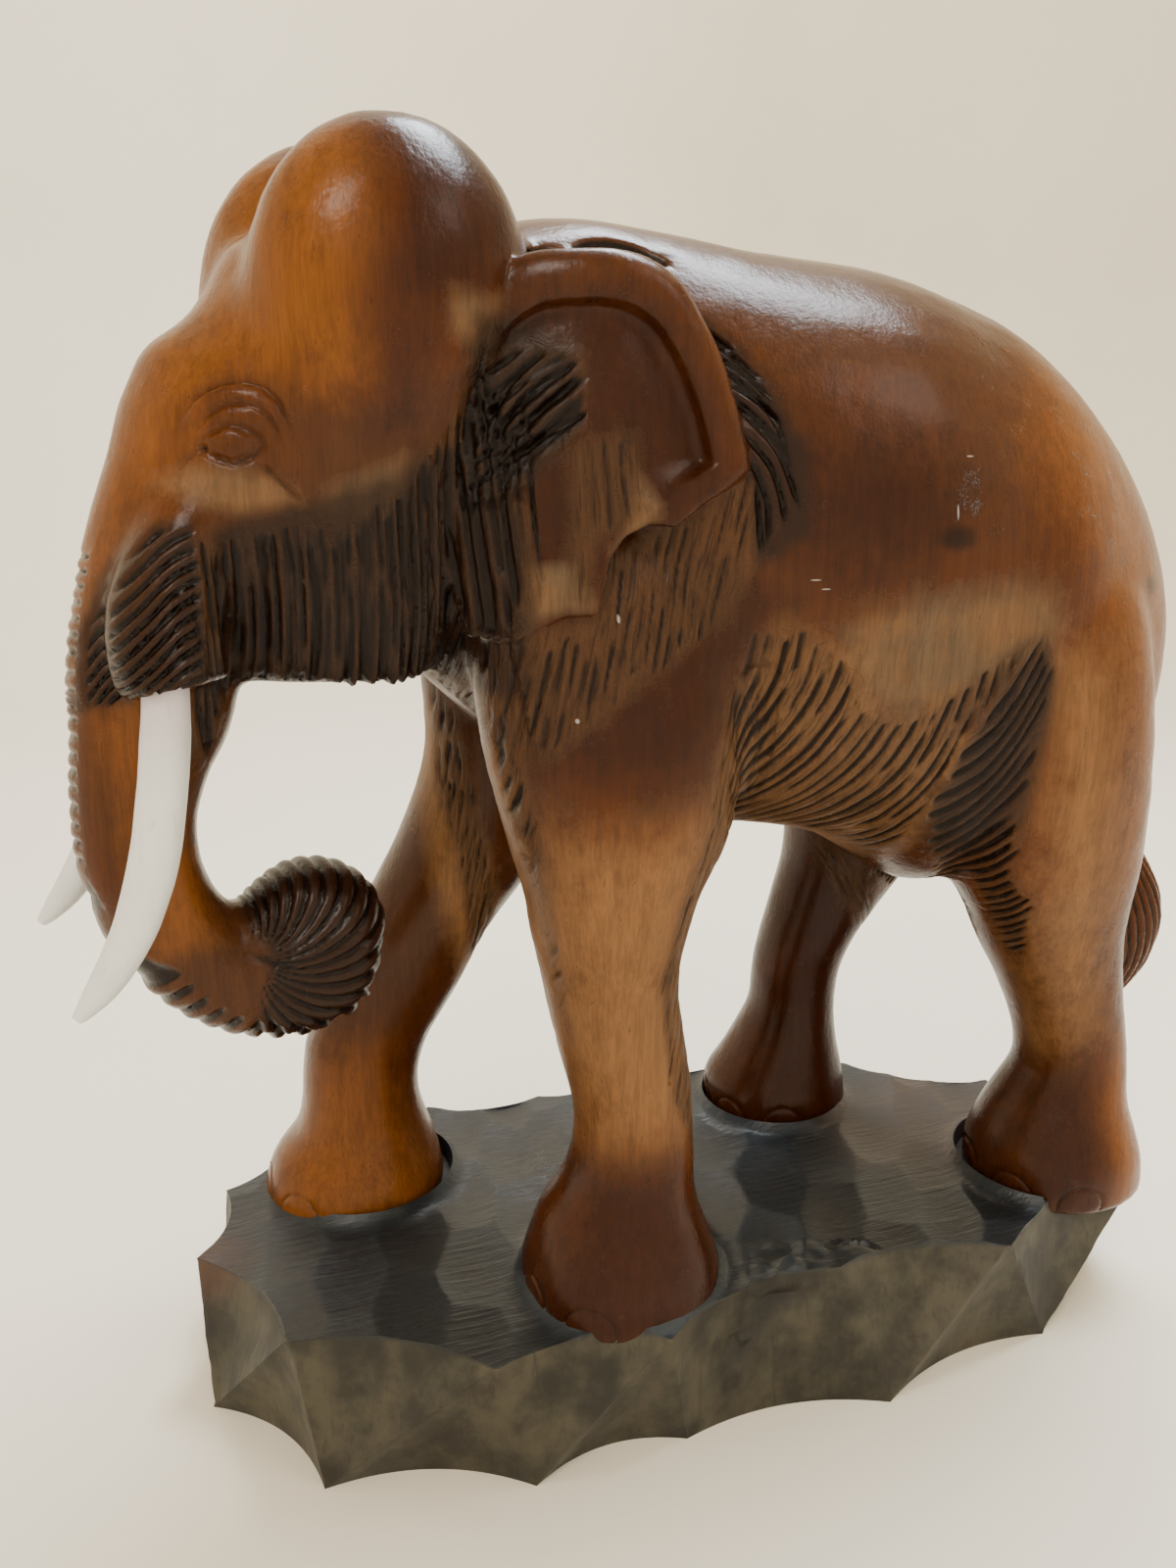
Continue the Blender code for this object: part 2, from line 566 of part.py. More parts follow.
def tusk_mesh(name, side, spare=0.0, last=len(TUSK)):
    """A tusk down to a row of its table, or the cutter for its socket with room to spare."""
    radius = TUSK_DIAMETER / PART / 2
    rows = [(x, side * y, z, radius * share + spare / PART, radius * share + spare / PART)
            for x, y, z, share in TUSK[:last]]
    root = SOCKET_DEPTH / PART
    x, y, z, rin, rout = rows[0]
    rows.insert(0, (x + 0.5, y - side * 1.5, z + root + spare / PART, rin, rout))
    tusk = Carving()
    tusk.tube(rows, steps=2, count=12)
    tusk.turn_from(0, HEAD_TURN)
    return tusk.mesh(name)


def wood(name, colour, roughness):
    material = bpy.data.materials.new(name)
    material.use_nodes = True
    shader = material.node_tree.nodes["Principled BSDF"]
    shader.inputs["Base Color"].default_value = (*colour, 1.0)
    shader.inputs["Roughness"].default_value = roughness
    return material


def elephant_and_base():
    body = Carving()
    torso(body)
    legs(body)
    head(body)
    body.tube(TAIL)
    body.tube(TUFT)
    figure = placed("elephant_and_base", body.mesh("figure"))
    fused(figure, FORM_VOXEL, 10)
    blended_head(figure, 36)
    relief = Carving()
    ears(relief)
    figure.data = joined("figure", [figure.data, relief.mesh("ears")])
    fused(figure, FINE_VOXEL, 2)
    carve(figure.data, FINEST_PITCH)
    thinning = figure.modifiers.new("thin", "DECIMATE")
    thinning.ratio = FIGURE_FACES / (2 * len(figure.data.polygons))
    baked(figure)
    for side in (-1, 1):
        combined(figure, placed("socket", tusk_mesh("socket", side, SOCKET_GAP, 3)), "DIFFERENCE")
    combined(figure, placed("base", base()), "UNION")
    return figure


def centred(objects):
    """Moves the origin under the middle of everything."""
    corners = np.array([vertex.co for obj in objects for vertex in obj.data.vertices])
    low, high = corners.min(axis=0), corners.max(axis=0)
    shift = np.array(((low[0] + high[0]) / 2, (low[1] + high[1]) / 2, low[2]))
    for obj in objects:
        for vertex in obj.data.vertices:
            vertex.co = [value - move for value, move in zip(vertex.co, shift)]
    return shift


for existing in list(bpy.data.objects):
    bpy.data.objects.remove(existing, do_unlink=True)
carved = elephant_and_base()
tusks = [placed("tusk_left", tusk_mesh("tusk_left", -1)), placed("tusk_right", tusk_mesh("tusk_right", 1))]
carved.data.materials.clear()
carved.data.materials.append(wood("carved_wood", (0.30, 0.13, 0.05), 0.3))
for tusk in tusks:
    tusk.data.materials.append(wood(tusk.name + "_paint", (0.78, 0.75, 0.72), 0.5))
print("origin moved by", centred([carved] + tusks))
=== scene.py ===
import math

import bmesh
import bpy
import numpy as np
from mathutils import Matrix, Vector
from mathutils.geometry import delaunay_2d_cdt


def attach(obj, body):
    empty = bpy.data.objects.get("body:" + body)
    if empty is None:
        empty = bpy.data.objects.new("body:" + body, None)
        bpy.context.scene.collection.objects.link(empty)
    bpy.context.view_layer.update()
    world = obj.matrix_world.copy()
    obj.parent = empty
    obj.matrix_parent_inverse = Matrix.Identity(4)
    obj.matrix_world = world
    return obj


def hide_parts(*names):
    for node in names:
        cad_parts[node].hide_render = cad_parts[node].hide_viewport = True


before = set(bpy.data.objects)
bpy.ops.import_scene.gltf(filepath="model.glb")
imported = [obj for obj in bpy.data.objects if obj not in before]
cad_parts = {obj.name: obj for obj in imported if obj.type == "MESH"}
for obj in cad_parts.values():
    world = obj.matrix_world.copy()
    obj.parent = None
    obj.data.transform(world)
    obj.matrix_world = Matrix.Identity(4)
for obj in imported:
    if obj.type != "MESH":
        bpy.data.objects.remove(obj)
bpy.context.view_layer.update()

# A walking elephant and its rugged base, carved from one block of wood, with two painted tusks.
# Carving tables are in millimetres, with heights above the soles of the feet.

stand = {"height": 46.0, "moveX": 9.367, "moveY": -6.5}
neck = {"x": -60.0, "y": 0.0, "turn": math.radians(10)}
farAway = 1e9


def smoothRows(rows, steps):
    rows = np.array(rows, dtype=float)
    padded = np.vstack([2 * rows[0] - rows[1], rows, 2 * rows[-1] - rows[-2]])
    result = []
    for index in range(len(rows) - 1):
        before, start, end, after = padded[index:index + 4]
        for step in range(steps):
            t = step / steps
            result.append(0.5 * (2 * start + (end - before) * t
                                 + (2 * before - 5 * start + 4 * end - after) * t ** 2
                                 + (3 * start - before - 3 * end + after) * t ** 3))
    result.append(rows[-1])
    return np.array(result)


def signedPower(values, power):
    return np.sign(values) * np.abs(values) ** power


def headTurned(x, y, angle):
    dx, dy = x - neck["x"], y - neck["y"]
    return (neck["x"] + dx * math.cos(angle) - dy * math.sin(angle),
            neck["y"] + dx * math.sin(angle) + dy * math.cos(angle))


def toMetres(points):
    return (np.array(points, dtype=float) + (stand["moveX"], stand["moveY"], stand["height"])) / 1000


def toMillimetres(mesh):
    coords = np.empty(len(mesh.vertices) * 3)
    mesh.vertices.foreach_get("co", coords)
    return coords.reshape(-1, 3) * 1000 - (stand["moveX"], stand["moveY"], stand["height"])


def normalsOf(mesh):
    normals = np.empty(len(mesh.vertices) * 3)
    mesh.vertex_normals.foreach_get("vector", normals)
    return normals.reshape(-1, 3)


def moveTo(mesh, coords):
    mesh.vertices.foreach_set("co", toMetres(coords).ravel())
    mesh.update()


def keepValue(mesh, name, values):
    layer = mesh.attributes.new(name, "FLOAT", "POINT")
    layer.data.foreach_set("value", np.asarray(values, dtype=np.float32))


def pickOnly(objects):
    bpy.ops.object.select_all(action="DESELECT")
    for obj in objects:
        obj.select_set(True)
    bpy.context.view_layer.objects.active = objects[0]


def finishModifiers(obj):
    pickOnly([obj])
    for modifier in list(obj.modifiers):
        bpy.ops.object.modifier_apply(modifier=modifier.name)


def joinAll(objects):
    pickOnly(objects)
    bpy.ops.object.join()
    return objects[0]


def newObject(name, mesh):
    obj = bpy.data.objects.new(name, mesh)
    bpy.context.scene.collection.objects.link(obj)
    return obj


def fuse(obj, voxel, smoothing):
    remesh = obj.modifiers.new("fuse", "REMESH")
    remesh.mode = "VOXEL"
    remesh.voxel_size = voxel / 1000
    if smoothing:
        smooth = obj.modifiers.new("soften", "SMOOTH")
        smooth.factor = 0.5
        smooth.iterations = smoothing
    finishModifiers(obj)


def shell(name, rings, turned=False):
    count = len(rings[0])
    verts = np.vstack(rings)
    if turned:
        x, y = headTurned(verts[:, 0], verts[:, 1], neck["turn"])
        verts = np.column_stack([x, y, verts[:, 2]])
    faces = []
    for level in range(len(rings) - 1):
        low = level * count
        for index in range(count):
            following = (index + 1) % count
            faces.append((low + index, low + following, low + count + following, low + count + index))
    faces.append(tuple(reversed(range(count))))
    faces.append(tuple(range((len(rings) - 1) * count, len(rings) * count)))
    mesh = bpy.data.meshes.new(name)
    mesh.from_pydata(toMetres(verts).tolist(), [], faces)
    obj = newObject(name, mesh)
    pickOnly([obj])
    bpy.ops.object.mode_set(mode="EDIT")
    bpy.ops.mesh.select_all(action="SELECT")
    bpy.ops.mesh.normals_make_consistent(inside=False)
    bpy.ops.object.mode_set(mode="OBJECT")
    return obj


def levelShell(name, rows, side):  # height, centre x, centre y, half length, half width
    angles = np.linspace(0, 2 * math.pi, 28, endpoint=False)
    rings = [np.column_stack([x + rx * signedPower(np.cos(angles), 0.9),
                              side * y + ry * signedPower(np.sin(angles), 0.9), np.full(len(angles), z)])
             for z, x, y, rx, ry in smoothRows(rows, 4)]
    return shell(name, rings)


def sweptRings(rows, count):  # x, y, z, radius in the XZ plane, radius across it
    angles = np.linspace(0, 2 * math.pi, count, endpoint=False)
    rings = []
    for index, (x, y, z, rin, rout) in enumerate(rows):
        low, high = rows[max(index - 1, 0)], rows[min(index + 1, len(rows) - 1)]
        along = (high[:3] - low[:3]) / np.linalg.norm(high[:3] - low[:3])
        across = np.cross(along, (0.0, 1.0, 0.0))
        across /= np.linalg.norm(across)
        rings.append(np.array((x, y, z)) + np.outer(np.cos(angles) * rin, across)
                     + np.outer(np.sin(angles) * rout, np.cross(along, across)))
    return rings


def pathShell(name, rows, turned=False):
    return shell(name, sweptRings(smoothRows(rows, 5), 24), turned)


def roundForm(name, centre, radii, tilt=0.0):
    x, y = headTurned(centre[0], centre[1], neck["turn"])
    bpy.ops.mesh.primitive_uv_sphere_add(segments=40, ring_count=26, radius=1, location=(0, 0, 0))
    obj = bpy.context.active_object
    obj.name = name
    obj.scale = [radius / 1000 for radius in radii]
    obj.rotation_euler = (0, tilt, neck["turn"])
    obj.location = toMetres([(x, y, centre[2])])[0]
    pickOnly([obj])
    bpy.ops.object.transform_apply(location=True, rotation=True, scale=True)
    return obj


body = {
    "voxel": 2.2, "smoothing": 10, "headSmoothing": 36, "triangles": 190000,
    # x, top, underside, half width
    "torso": [
        (-108, 262, 215, 24), (-95, 292, 200, 34), (-75, 316, 180, 44), (-50, 323, 158, 53), (-20, 321, 145, 61),
        (10, 317, 141, 67), (40, 315, 134, 69), (60, 312, 123, 68), (78, 307, 112, 66), (98, 300, 116, 63),
        (120, 286, 122, 57), (144, 264, 130, 47), (161, 237, 145, 36), (169, 206, 160, 21)],
    # x, y, z, radius in the XZ plane, radius across it
    "tail": [
        (149, 0, 242, 10, 10), (162, 0, 218, 8, 9), (167, -2, 190, 7, 8), (158, -6, 160, 9, 8),
        (152, -12, 138, 10.5, 9), (155, -17, 118, 12, 9), (156, -20, 96, 11, 9), (154, -22, 74, 8, 8)],
    "tuft": [
        (162, -16, 126, 5, 5), (168, -19, 111, 11, 10), (170, -21, 95, 16.5, 12.5), (168, -22, 80, 15.5, 12),
        (162, -22, 67, 11, 10), (155, -23, 56, 5, 6)],
}

# side, then height, centre x, centre y, half length, half width
legs = {
    "frontLeft": (-1, [
        (-6, -39, 36, 32, 32), (4, -39, 36, 32, 32), (12, -39, 36, 30, 30), (23, -39, 36, 26, 26),
        (33, -37, 36, 21.5, 22), (44, -35, 36, 19.5, 20), (58, -35, 36, 18.7, 19), (72, -37, 36, 19.4, 20),
        (86, -40, 36, 20, 21), (103, -43, 36, 20.5, 22), (119, -44, 37, 23, 24), (135, -43, 38, 27, 25),
        (155, -41, 39, 35, 27), (185, -43, 40, 40, 27), (220, -45, 38, 40, 24), (245, -47, 33, 34, 19),
        (270, -50, 27, 23, 13)]),
    "frontRight": (1, [
        (-6, -112, 50, 33, 32), (4, -111, 50, 32, 31), (12, -110, 50, 29, 28), (21, -108, 50, 24, 24),
        (33, -108, 50, 21, 22), (45, -107, 50, 21, 21), (56, -104, 50, 22, 21), (74, -94, 49, 23, 22),
        (95, -85, 47, 25, 23), (115, -72, 45, 27, 24), (135, -60, 43, 29, 26), (160, -50, 41, 31, 27),
        (190, -44, 40, 38, 27), (220, -45, 38, 40, 24), (245, -47, 33, 34, 19), (270, -50, 27, 23, 13)]),
    "rearLeft": (-1, [
        (-6, 139, 32, 31, 31), (4, 139, 32, 31, 31), (10, 138, 33, 30, 30), (18, 138, 33, 28, 27),
        (30, 139, 33, 22.7, 23), (42, 142, 33, 19.2, 20), (58, 139, 33, 19.4, 20), (75, 133, 33, 21.6, 21),
        (91, 127, 33, 25, 23), (107, 122, 34, 29, 25), (125, 117, 35, 35, 28), (148, 113, 36, 37.5, 30),
        (175, 110, 36, 37.5, 31), (205, 108, 34, 35.5, 29), (235, 103, 30, 30, 23), (258, 98, 24, 20, 15)]),
    "rearRight": (1, [
        (-6, 64, 49, 29, 28), (4, 64, 49, 29, 28), (10, 64, 49, 28, 27), (17, 66, 49, 25, 24),
        (28, 68, 49, 20.7, 21), (41, 70, 48, 17, 18), (55, 71, 48, 17, 18), (71, 75, 47, 18.3, 19),
        (91, 85, 46, 23.5, 21), (105, 91, 44, 27, 23), (125, 97, 42, 33, 26), (150, 105, 39, 37, 29),
        (178, 109, 37, 37, 30), (205, 108, 34, 35.5, 29), (235, 103, 30, 30, 23), (258, 98, 24, 20, 15)]),
}

head = {
    # height, front, back, half width
    "skull": [
        (200, -150, -92, 33), (206, -155, -88, 38), (218, -160, -84, 43), (236, -169, -79, 46), (257, -173, -74, 48),
        (275, -168, -71, 50), (290, -153, -70, 50), (302, -144, -71, 47), (312, -140, -75, 41)],
    # x, y, z, radius in the XZ plane, radius across it
    "trunk": [
        (-146, 0, 268, 18, 23), (-153, 0, 250, 22.5, 23), (-161, 0, 230, 22, 22), (-167, 0, 206, 22, 19),
        (-169, 0, 193, 21.5, 18), (-173, 0, 180, 18.5, 17), (-176, 0, 165, 16.5, 16.5), (-175.5, 0, 150, 16, 16),
        (-171, 0, 134, 16, 16), (-161, 0, 120, 16.5, 17), (-148, 0, 111, 17, 18), (-134, 0, 108, 17, 19),
        (-125, 0, 115, 17.5, 20), (-126, 0, 127, 17, 19), (-134, 0, 132, 13, 16), (-142, 0, 127, 9, 11)],
    "sheath": [
        (-146, 18, 254, 8, 8), (-156, 20, 241, 12.5, 12), (-165, 22, 225, 14.5, 14), (-168, 24.5, 211, 14.5, 14),
        (-167, 26, 202, 13.5, 13)],
    "curl": (-132.0, 118.0),
}

ears = {
    # outline in side view, and how much of each point belongs to the rolled rim
    "rim": [
        (-92, 275, 0), (-88, 292, 0.5), (-80, 301, 1), (-71, 306, 1), (-60, 307, 1), (-50, 307, 1), (-41, 305, 1),
        (-33, 300, 1), (-27, 292, 1), (-22, 283, 1), (-18, 273, 1), (-15, 263, 1), (-13, 254, 1)],
    "steps": [
        (-19, 250, 0.6), (-27, 246, 0.2), (-36, 240, 0), (-43, 241, 0), (-50, 238, 0), (-54, 232, 0), (-56, 224, 0),
        (-58, 218, 0), (-65, 218, 0), (-71, 215, 0), (-77, 211, 0), (-88, 212, 0), (-92, 230, 0), (-93, 252, 0)],
    "middle": (-58.0, 262.0),
    # share of the way out from the middle, lift at the rim, lift elsewhere
    "profile": [
        (1.0, -2.5, -1.0), (0.965, -0.5, -0.1), (0.91, 0.8, 0.0), (0.84, 1.2, 0.0), (0.77, 0.6, 0.0),
        (0.73, -0.6, 0.0), (0.695, -4.6, -0.2), (0.6, -4.4, -0.6), (0.45, -3.0, -1.2), (0.25, -2.0, -1.4),
        (0.06, -1.6, -1.6)],
    "voxel": 0.75, "smoothing": 3,
}

tusks = {
    "diameter": 12.6, "socketDepth": 12.0, "gap": 0.3, "corners": 14, "levels": 2,
    # x, y, z, share of the diameter
    "rows": [
        (-170, 28, 202, 0.95), (-171.5, 29.5, 190, 1.0), (-174, 31.5, 176, 1.0), (-178, 33.5, 159, 1.0),
        (-185, 35.5, 143, 0.87), (-193, 36.5, 132, 0.66), (-199.5, 37, 125.5, 0.25)],
}


def torsoShell():
    angles = np.linspace(0, 2 * math.pi, 40, endpoint=False)
    rings = [np.column_stack([np.full(40, x), width * signedPower(np.cos(angles), 0.9),
                              (top + low) / 2 + (top - low) / 2 * signedPower(np.sin(angles), 0.9)])
             for x, top, low, width in smoothRows(body["torso"], 4)]
    return shell("torso", rings)


def headShells():
    angles = np.linspace(0, 2 * math.pi, 36, endpoint=False)
    taper = 1 - 0.42 * ((1 - np.cos(angles)) / 2) ** 1.5
    rings = [np.column_stack([(front + back) / 2 + (back - front) / 2 * signedPower(np.cos(angles), 0.85),
                              width * signedPower(np.sin(angles), 0.85) * taper, np.full(36, z)])
             for z, front, back, width in smoothRows(head["skull"], 4)]
    shells = [shell("skull", rings, True)]
    for side in (-1, 1):
        shells.append(roundForm("dome", (-106, side * 25, 297), (37, 27.5, 42 if side < 0 else 45), 0.12))
        shells.append(pathShell("sheath", [(x, side * y, z, rin, rout) for x, y, z, rin, rout in head["sheath"]],
                                turned=True))
    shells.append(roundForm("brow", (-151, 0, 273), (16, 22, 17)))
    shells.append(pathShell("trunk", head["trunk"], turned=True))
    shells.append(roundForm("curl", (head["curl"][0], 0, head["curl"][1]), (24, 20, 26)))
    return shells


def earShell(side):
    edge = np.vstack([smoothRows(ears["rim"], 4), np.array(ears["steps"], dtype=float)])
    rim = np.clip(edge[:, 2], 0, 1)
    edge = edge[:, :2]
    middle = np.array(ears["middle"])
    rings = []
    for share, depth in ((0.82, 26.0), (0.93, 38.0)):
        points = middle + (edge - middle) * share
        rings.append(np.column_stack([points[:, 0], np.full(len(points), side * depth), points[:, 1]]))
    for share, rimLift, otherLift in smoothRows(ears["profile"], 2):
        points = middle + (edge - middle) * share
        face = 60 + 0.08 * (300 - points[:, 1]) - 0.0105 * np.minimum(points[:, 0] + 46, 0) ** 2
        lift = rim * rimLift + (1 - rim) * otherLift
        rings.append(np.column_stack([points[:, 0], side * (face + lift), points[:, 1]]))
    return shell("ear", rings)


def tuskRings(side, spare=0.0, last=None):  # also the cutter for its socket, with room to spare
    radii = [tusks["diameter"] / 2 * row[3] + spare for row in tusks["rows"][:last]]
    rows = [(x, side * y, z, radius, radius) for (x, y, z, _), radius in zip(tusks["rows"], radii)]
    x, y, z, radius = rows[0][:4]
    rows.insert(0, (x + 0.5, y - side * 1.5, z + tusks["socketDepth"] + spare, radius, radius))
    rings = []
    for ring in sweptRings(smoothRows(rows, 2), tusks["corners"]):
        ringX, ringY = headTurned(ring[:, 0], ring[:, 1], neck["turn"])
        rings.append(np.column_stack([ringX, ringY, ring[:, 2]]))
    return rings


def blendHead(obj):
    coords = toMillimetres(obj.data)
    x, y = headTurned(coords[:, 0], coords[:, 1], -neck["turn"])
    z = coords[:, 2]
    weight = np.clip((z - 232) / 25, 0, 1) * np.clip((-62 - x) / 12, 0, 1) * np.clip((338 - z) / 26, 0.25, 1)
    group = obj.vertex_groups.new(name="crown")
    for index in np.nonzero(weight > 0.01)[0]:
        group.add([int(index)], float(weight[index]), "REPLACE")
    smooth = obj.modifiers.new("soften", "SMOOTH")
    smooth.factor = 0.5
    smooth.iterations = body["headSmoothing"]
    smooth.vertex_group = "crown"
    finishModifiers(obj)
    obj.vertex_groups.clear()


def roughOutElephant():
    shells = [torsoShell(), pathShell("tail", body["tail"]), pathShell("tuft", body["tuft"])]
    shells += [levelShell(name, rows, side) for name, (side, rows) in legs.items()]
    shells += headShells()
    elephant = joinAll(shells)
    elephant.name = "elephant"
    fuse(elephant, body["voxel"], body["smoothing"])
    blendHead(elephant)
    for side in (-1, 1):
        cutter = shell("socket", tuskRings(side, tusks["gap"], 3))
        cut = elephant.modifiers.new("socket", "BOOLEAN")
        cut.operation = "DIFFERENCE"
        cut.object = cutter
        finishModifiers(elephant)
        bpy.data.objects.remove(cutter, do_unlink=True)
    rounding = elephant.modifiers.new("rounding", "SUBSURF")
    rounding.levels = rounding.render_levels = 1
    finishModifiers(elephant)
    joinAll([elephant, earShell(-1), earShell(1)])
    fuse(elephant, ears["voxel"], ears["smoothing"])
    return elephant


def scattered(number):
    value = np.sin(number * 12.9898 + 4.1414) * 43758.5453
    return value - np.floor(value)


def mottle(x, y, z, size, seed=0.0):  # smooth noise from -1 to 1
    points = [np.asarray(axis) / size + seed * 7.31 for axis in (x, y, z)]
    whole = [np.floor(axis) for axis in points]
    part = [axis - floor for axis, floor in zip(points, whole)]
    part = [axis * axis * (3 - 2 * axis) for axis in part]
    total = 0.0
    for corner in range(8):
        dx, dy, dz = corner & 1, corner >> 1 & 1, corner >> 2
        number = (whole[0] + dx) * 1.271 + (whole[1] + dy) * 31.17 + (whole[2] + dz) * 7.47
        weight = ((part[0] if dx else 1 - part[0]) * (part[1] if dy else 1 - part[1])
                  * (part[2] if dz else 1 - part[2]))
        total = total + weight * scattered(number)
    return 2 * total - 1


def depthInside(x, z, outline):
    inside = np.zeros(len(x), dtype=bool)
    nearest = np.full(len(x), farAway)
    for index, (x1, z1) in enumerate(outline):
        x0, z0 = outline[index - 1]
        dx, dz = x1 - x0, z1 - z0
        t = np.clip(((x - x0) * dx + (z - z0) * dz) / (dx * dx + dz * dz), 0, 1)
        nearest = np.minimum(nearest, np.hypot(x - x0 - t * dx, z - z0 - t * dz))
        if z1 != z0:
            inside ^= ((z0 > z) != (z1 > z)) & (x < dx * (z - z0) / dz + x0)
    return np.where(inside, nearest, -nearest)


def vGroove(phase, width=0.2):
    return np.exp(-((phase - np.floor(phase) - 0.5) / width) ** 2)


def ropeGroove(phase, power=1.35):  # round ridges with a sharp valley between them
    return (1 - np.sin(math.pi * np.abs(phase - np.floor(phase) - 0.5))) ** power


def strokes(across, along, spacing, depth, length, seed, width=0.2):
    # gouge strokes laid end to end in rows, each with its own length, depth and place
    phase = across / spacing + 0.05 * np.sin(along * 0.16 + seed)
    row = np.floor(phase) + seed
    stretch = length * (0.65 + 0.7 * scattered(row + 31))
    place = (along + 90 * scattered(row)) / stretch
    number = np.floor(place)
    t = place - number
    taper = np.clip(np.minimum(t / 3.0, (1 - t) / 7.0) * stretch, 0, 1)
    drift = 0.24 * (scattered(row * 3 + number * 5) - 0.5)
    away = phase - np.floor(phase) - 0.5 + drift
    valley = 0.7 * np.exp(-(away / width) ** 2) + 0.3 * (1 - np.abs(np.sin(math.pi * away))) ** 1.3
    return depth * (0.55 + 0.45 * scattered(row * 7 + number * 13)) * taper * valley


def followPath(x, z, path):  # how far along the path each point is, on which side, how far off, and its length
    nearest = np.full(len(x), farAway)
    travelled = np.zeros(len(x))
    outward = np.zeros(len(x))
    length = 0.0
    for (x0, z0), (x1, z1) in zip(path[:-1], path[1:]):
        dx, dz = x1 - x0, z1 - z0
        size = math.hypot(dx, dz)
        t = np.clip(((x - x0) * dx + (z - z0) * dz) / size ** 2, 0, 1)
        away = np.hypot(x - x0 - t * dx, z - z0 - t * dz)
        closer = away < nearest
        nearest = np.where(closer, away, nearest)
        travelled = np.where(closer, length + t * size, travelled)
        outward = np.where(closer, ((x - x0) * dz - (z - z0) * dx) / size, outward)
        length += size
    return travelled, outward, nearest, length


def lineCut(x, z, points, width, depth):  # one drawn line that tapers at both ends
    travelled, _, nearest, total = followPath(x, z, smoothRows(points, 5))
    taper = np.clip(np.minimum(travelled, total - travelled) / (0.22 * total), 0.15, 1)
    return depth * taper * np.exp(-(nearest / width) ** 2)


def flowing(x, z, outline, flow):  # how far across the strokes a point is, and how far along them
    kind, first, second, third = flow
    if kind == "hanging":  # upright at the top, then swept backwards as they hang down
        drop = first - z
        curve = third * (1 - 0.75 * np.clip((x + 5) / 50, 0, 1))
        return x + second * drop + curve * drop ** 2, -1.15 * drop
    if kind == "feathered":  # barbs that rise from the crease in front of the thigh
        out = x - first
        return z - second * out - third * out ** 2, 1.5 * out
    x0, z0 = np.mean(outline, axis=0)
    angle = math.radians(first)
    across = (x - x0) * math.cos(angle) + (z - z0) * math.sin(angle)
    along = -(x - x0) * math.sin(angle) + (z - z0) * math.cos(angle)
    return across + second * along ** 2, along


# turns with the head, outline in side view, flow of the strokes, fade at the edge,
# then each layer's spacing, depth and stroke length
hair = {
    "cheek": (True, [(-164, 240), (-154, 240), (-146, 240), (-136, 243), (-129, 241), (-122, 246), (-112, 250),
                     (-109, 257), (-102, 262), (-97, 284), (-88, 292), (-80, 262), (-80, 225), (-88, 192),
                     (-120, 188), (-152, 188), (-153, 174), (-160, 174), (-166, 190)],
              ("straight", 3, 0.0, 0), 5.0, [(2.8, 1.5, 70), (1.9, 0.7, 34), (5.7, 0.8, 44)]),
    "earFront": (False, [(-88, 246), (-88, 276), (-76, 286), (-57, 285), (-58, 264), (-74, 250)],
                 ("straight", 130, 0.0, 0), 3.0, [(3.4, 1.5, 34), (2.2, 0.6, 18)]),
    "earLow": (False, [(-64, 262), (-44, 266), (-44, 242), (-56, 236), (-60, 218), (-66, 222)],
               ("straight", 2, 0.0, 0), 3.0, [(4.2, 0.8, 40), (2.4, 0.3, 20)]),
    "shoulder": (False, [(-84, 182), (-80, 213), (-58, 219), (-55, 234), (-36, 241), (-13, 256), (-4, 240),
                         (-18, 214), (-48, 196), (-70, 178)], ("straight", 167, 0.0, 0), 6.0,
                 [(3.1, 1.1, 26), (1.9, 0.5, 15)]),
    "flank": (False, [(-18, 190), (-12, 212), (4, 213), (13, 206), (22, 199), (26, 188), (42, 185), (60, 196),
                      (84, 210), (76, 194), (60, 176), (58, 150), (60, 122), (-16, 140)],
              ("hanging", 205, 0.15, 0.008), 4.0, [(4.5, 1.5, 60), (2.2, 0.4, 26)]),
    "thigh": (False, [(58, 172), (68, 190), (84, 210), (91, 196), (89, 160), (90, 130), (101, 112), (106, 90),
                      (90, 100), (64, 136), (57, 150)],
              ("feathered", 60, 0.55, 0.027), 3.0, [(7.2, 2.4, 130), (3.6, 0.5, 24)]),
    "frontLegFront": (False, [(-88, 190), (-78, 194), (-68, 150), (-61, 110), (-54, 62), (-64, 58), (-72, 90),
                              (-80, 140)], ("straight", 172, 0.0, 0), 3.0, [(2.6, 1.0, 16), (1.8, 0.5, 9)]),
    "frontLegRear": (False, [(-20, 196), (-4, 202), (2, 150), (-14, 116), (-18, 44), (-30, 66), (-38, 112),
                             (-28, 150)], ("straight", 166, 0.0, 0), 3.0, [(2.7, 1.0, 16), (1.8, 0.5, 9)]),
    "chest": (False, [(-92, 214), (-80, 212), (-70, 150), (-84, 150), (-94, 190)], ("straight", 176, 0.0, 0), 3.0,
              [(2.6, 1.0, 20), (1.8, 0.4, 10)]),
    "rearLegFront": (False, [(62, 122), (78, 118), (96, 88), (108, 66), (100, 62), (84, 80), (68, 104)],
                     ("straight", 30, 0.0, 0), 3.0, [(3.0, 0.8, 16)]),
}


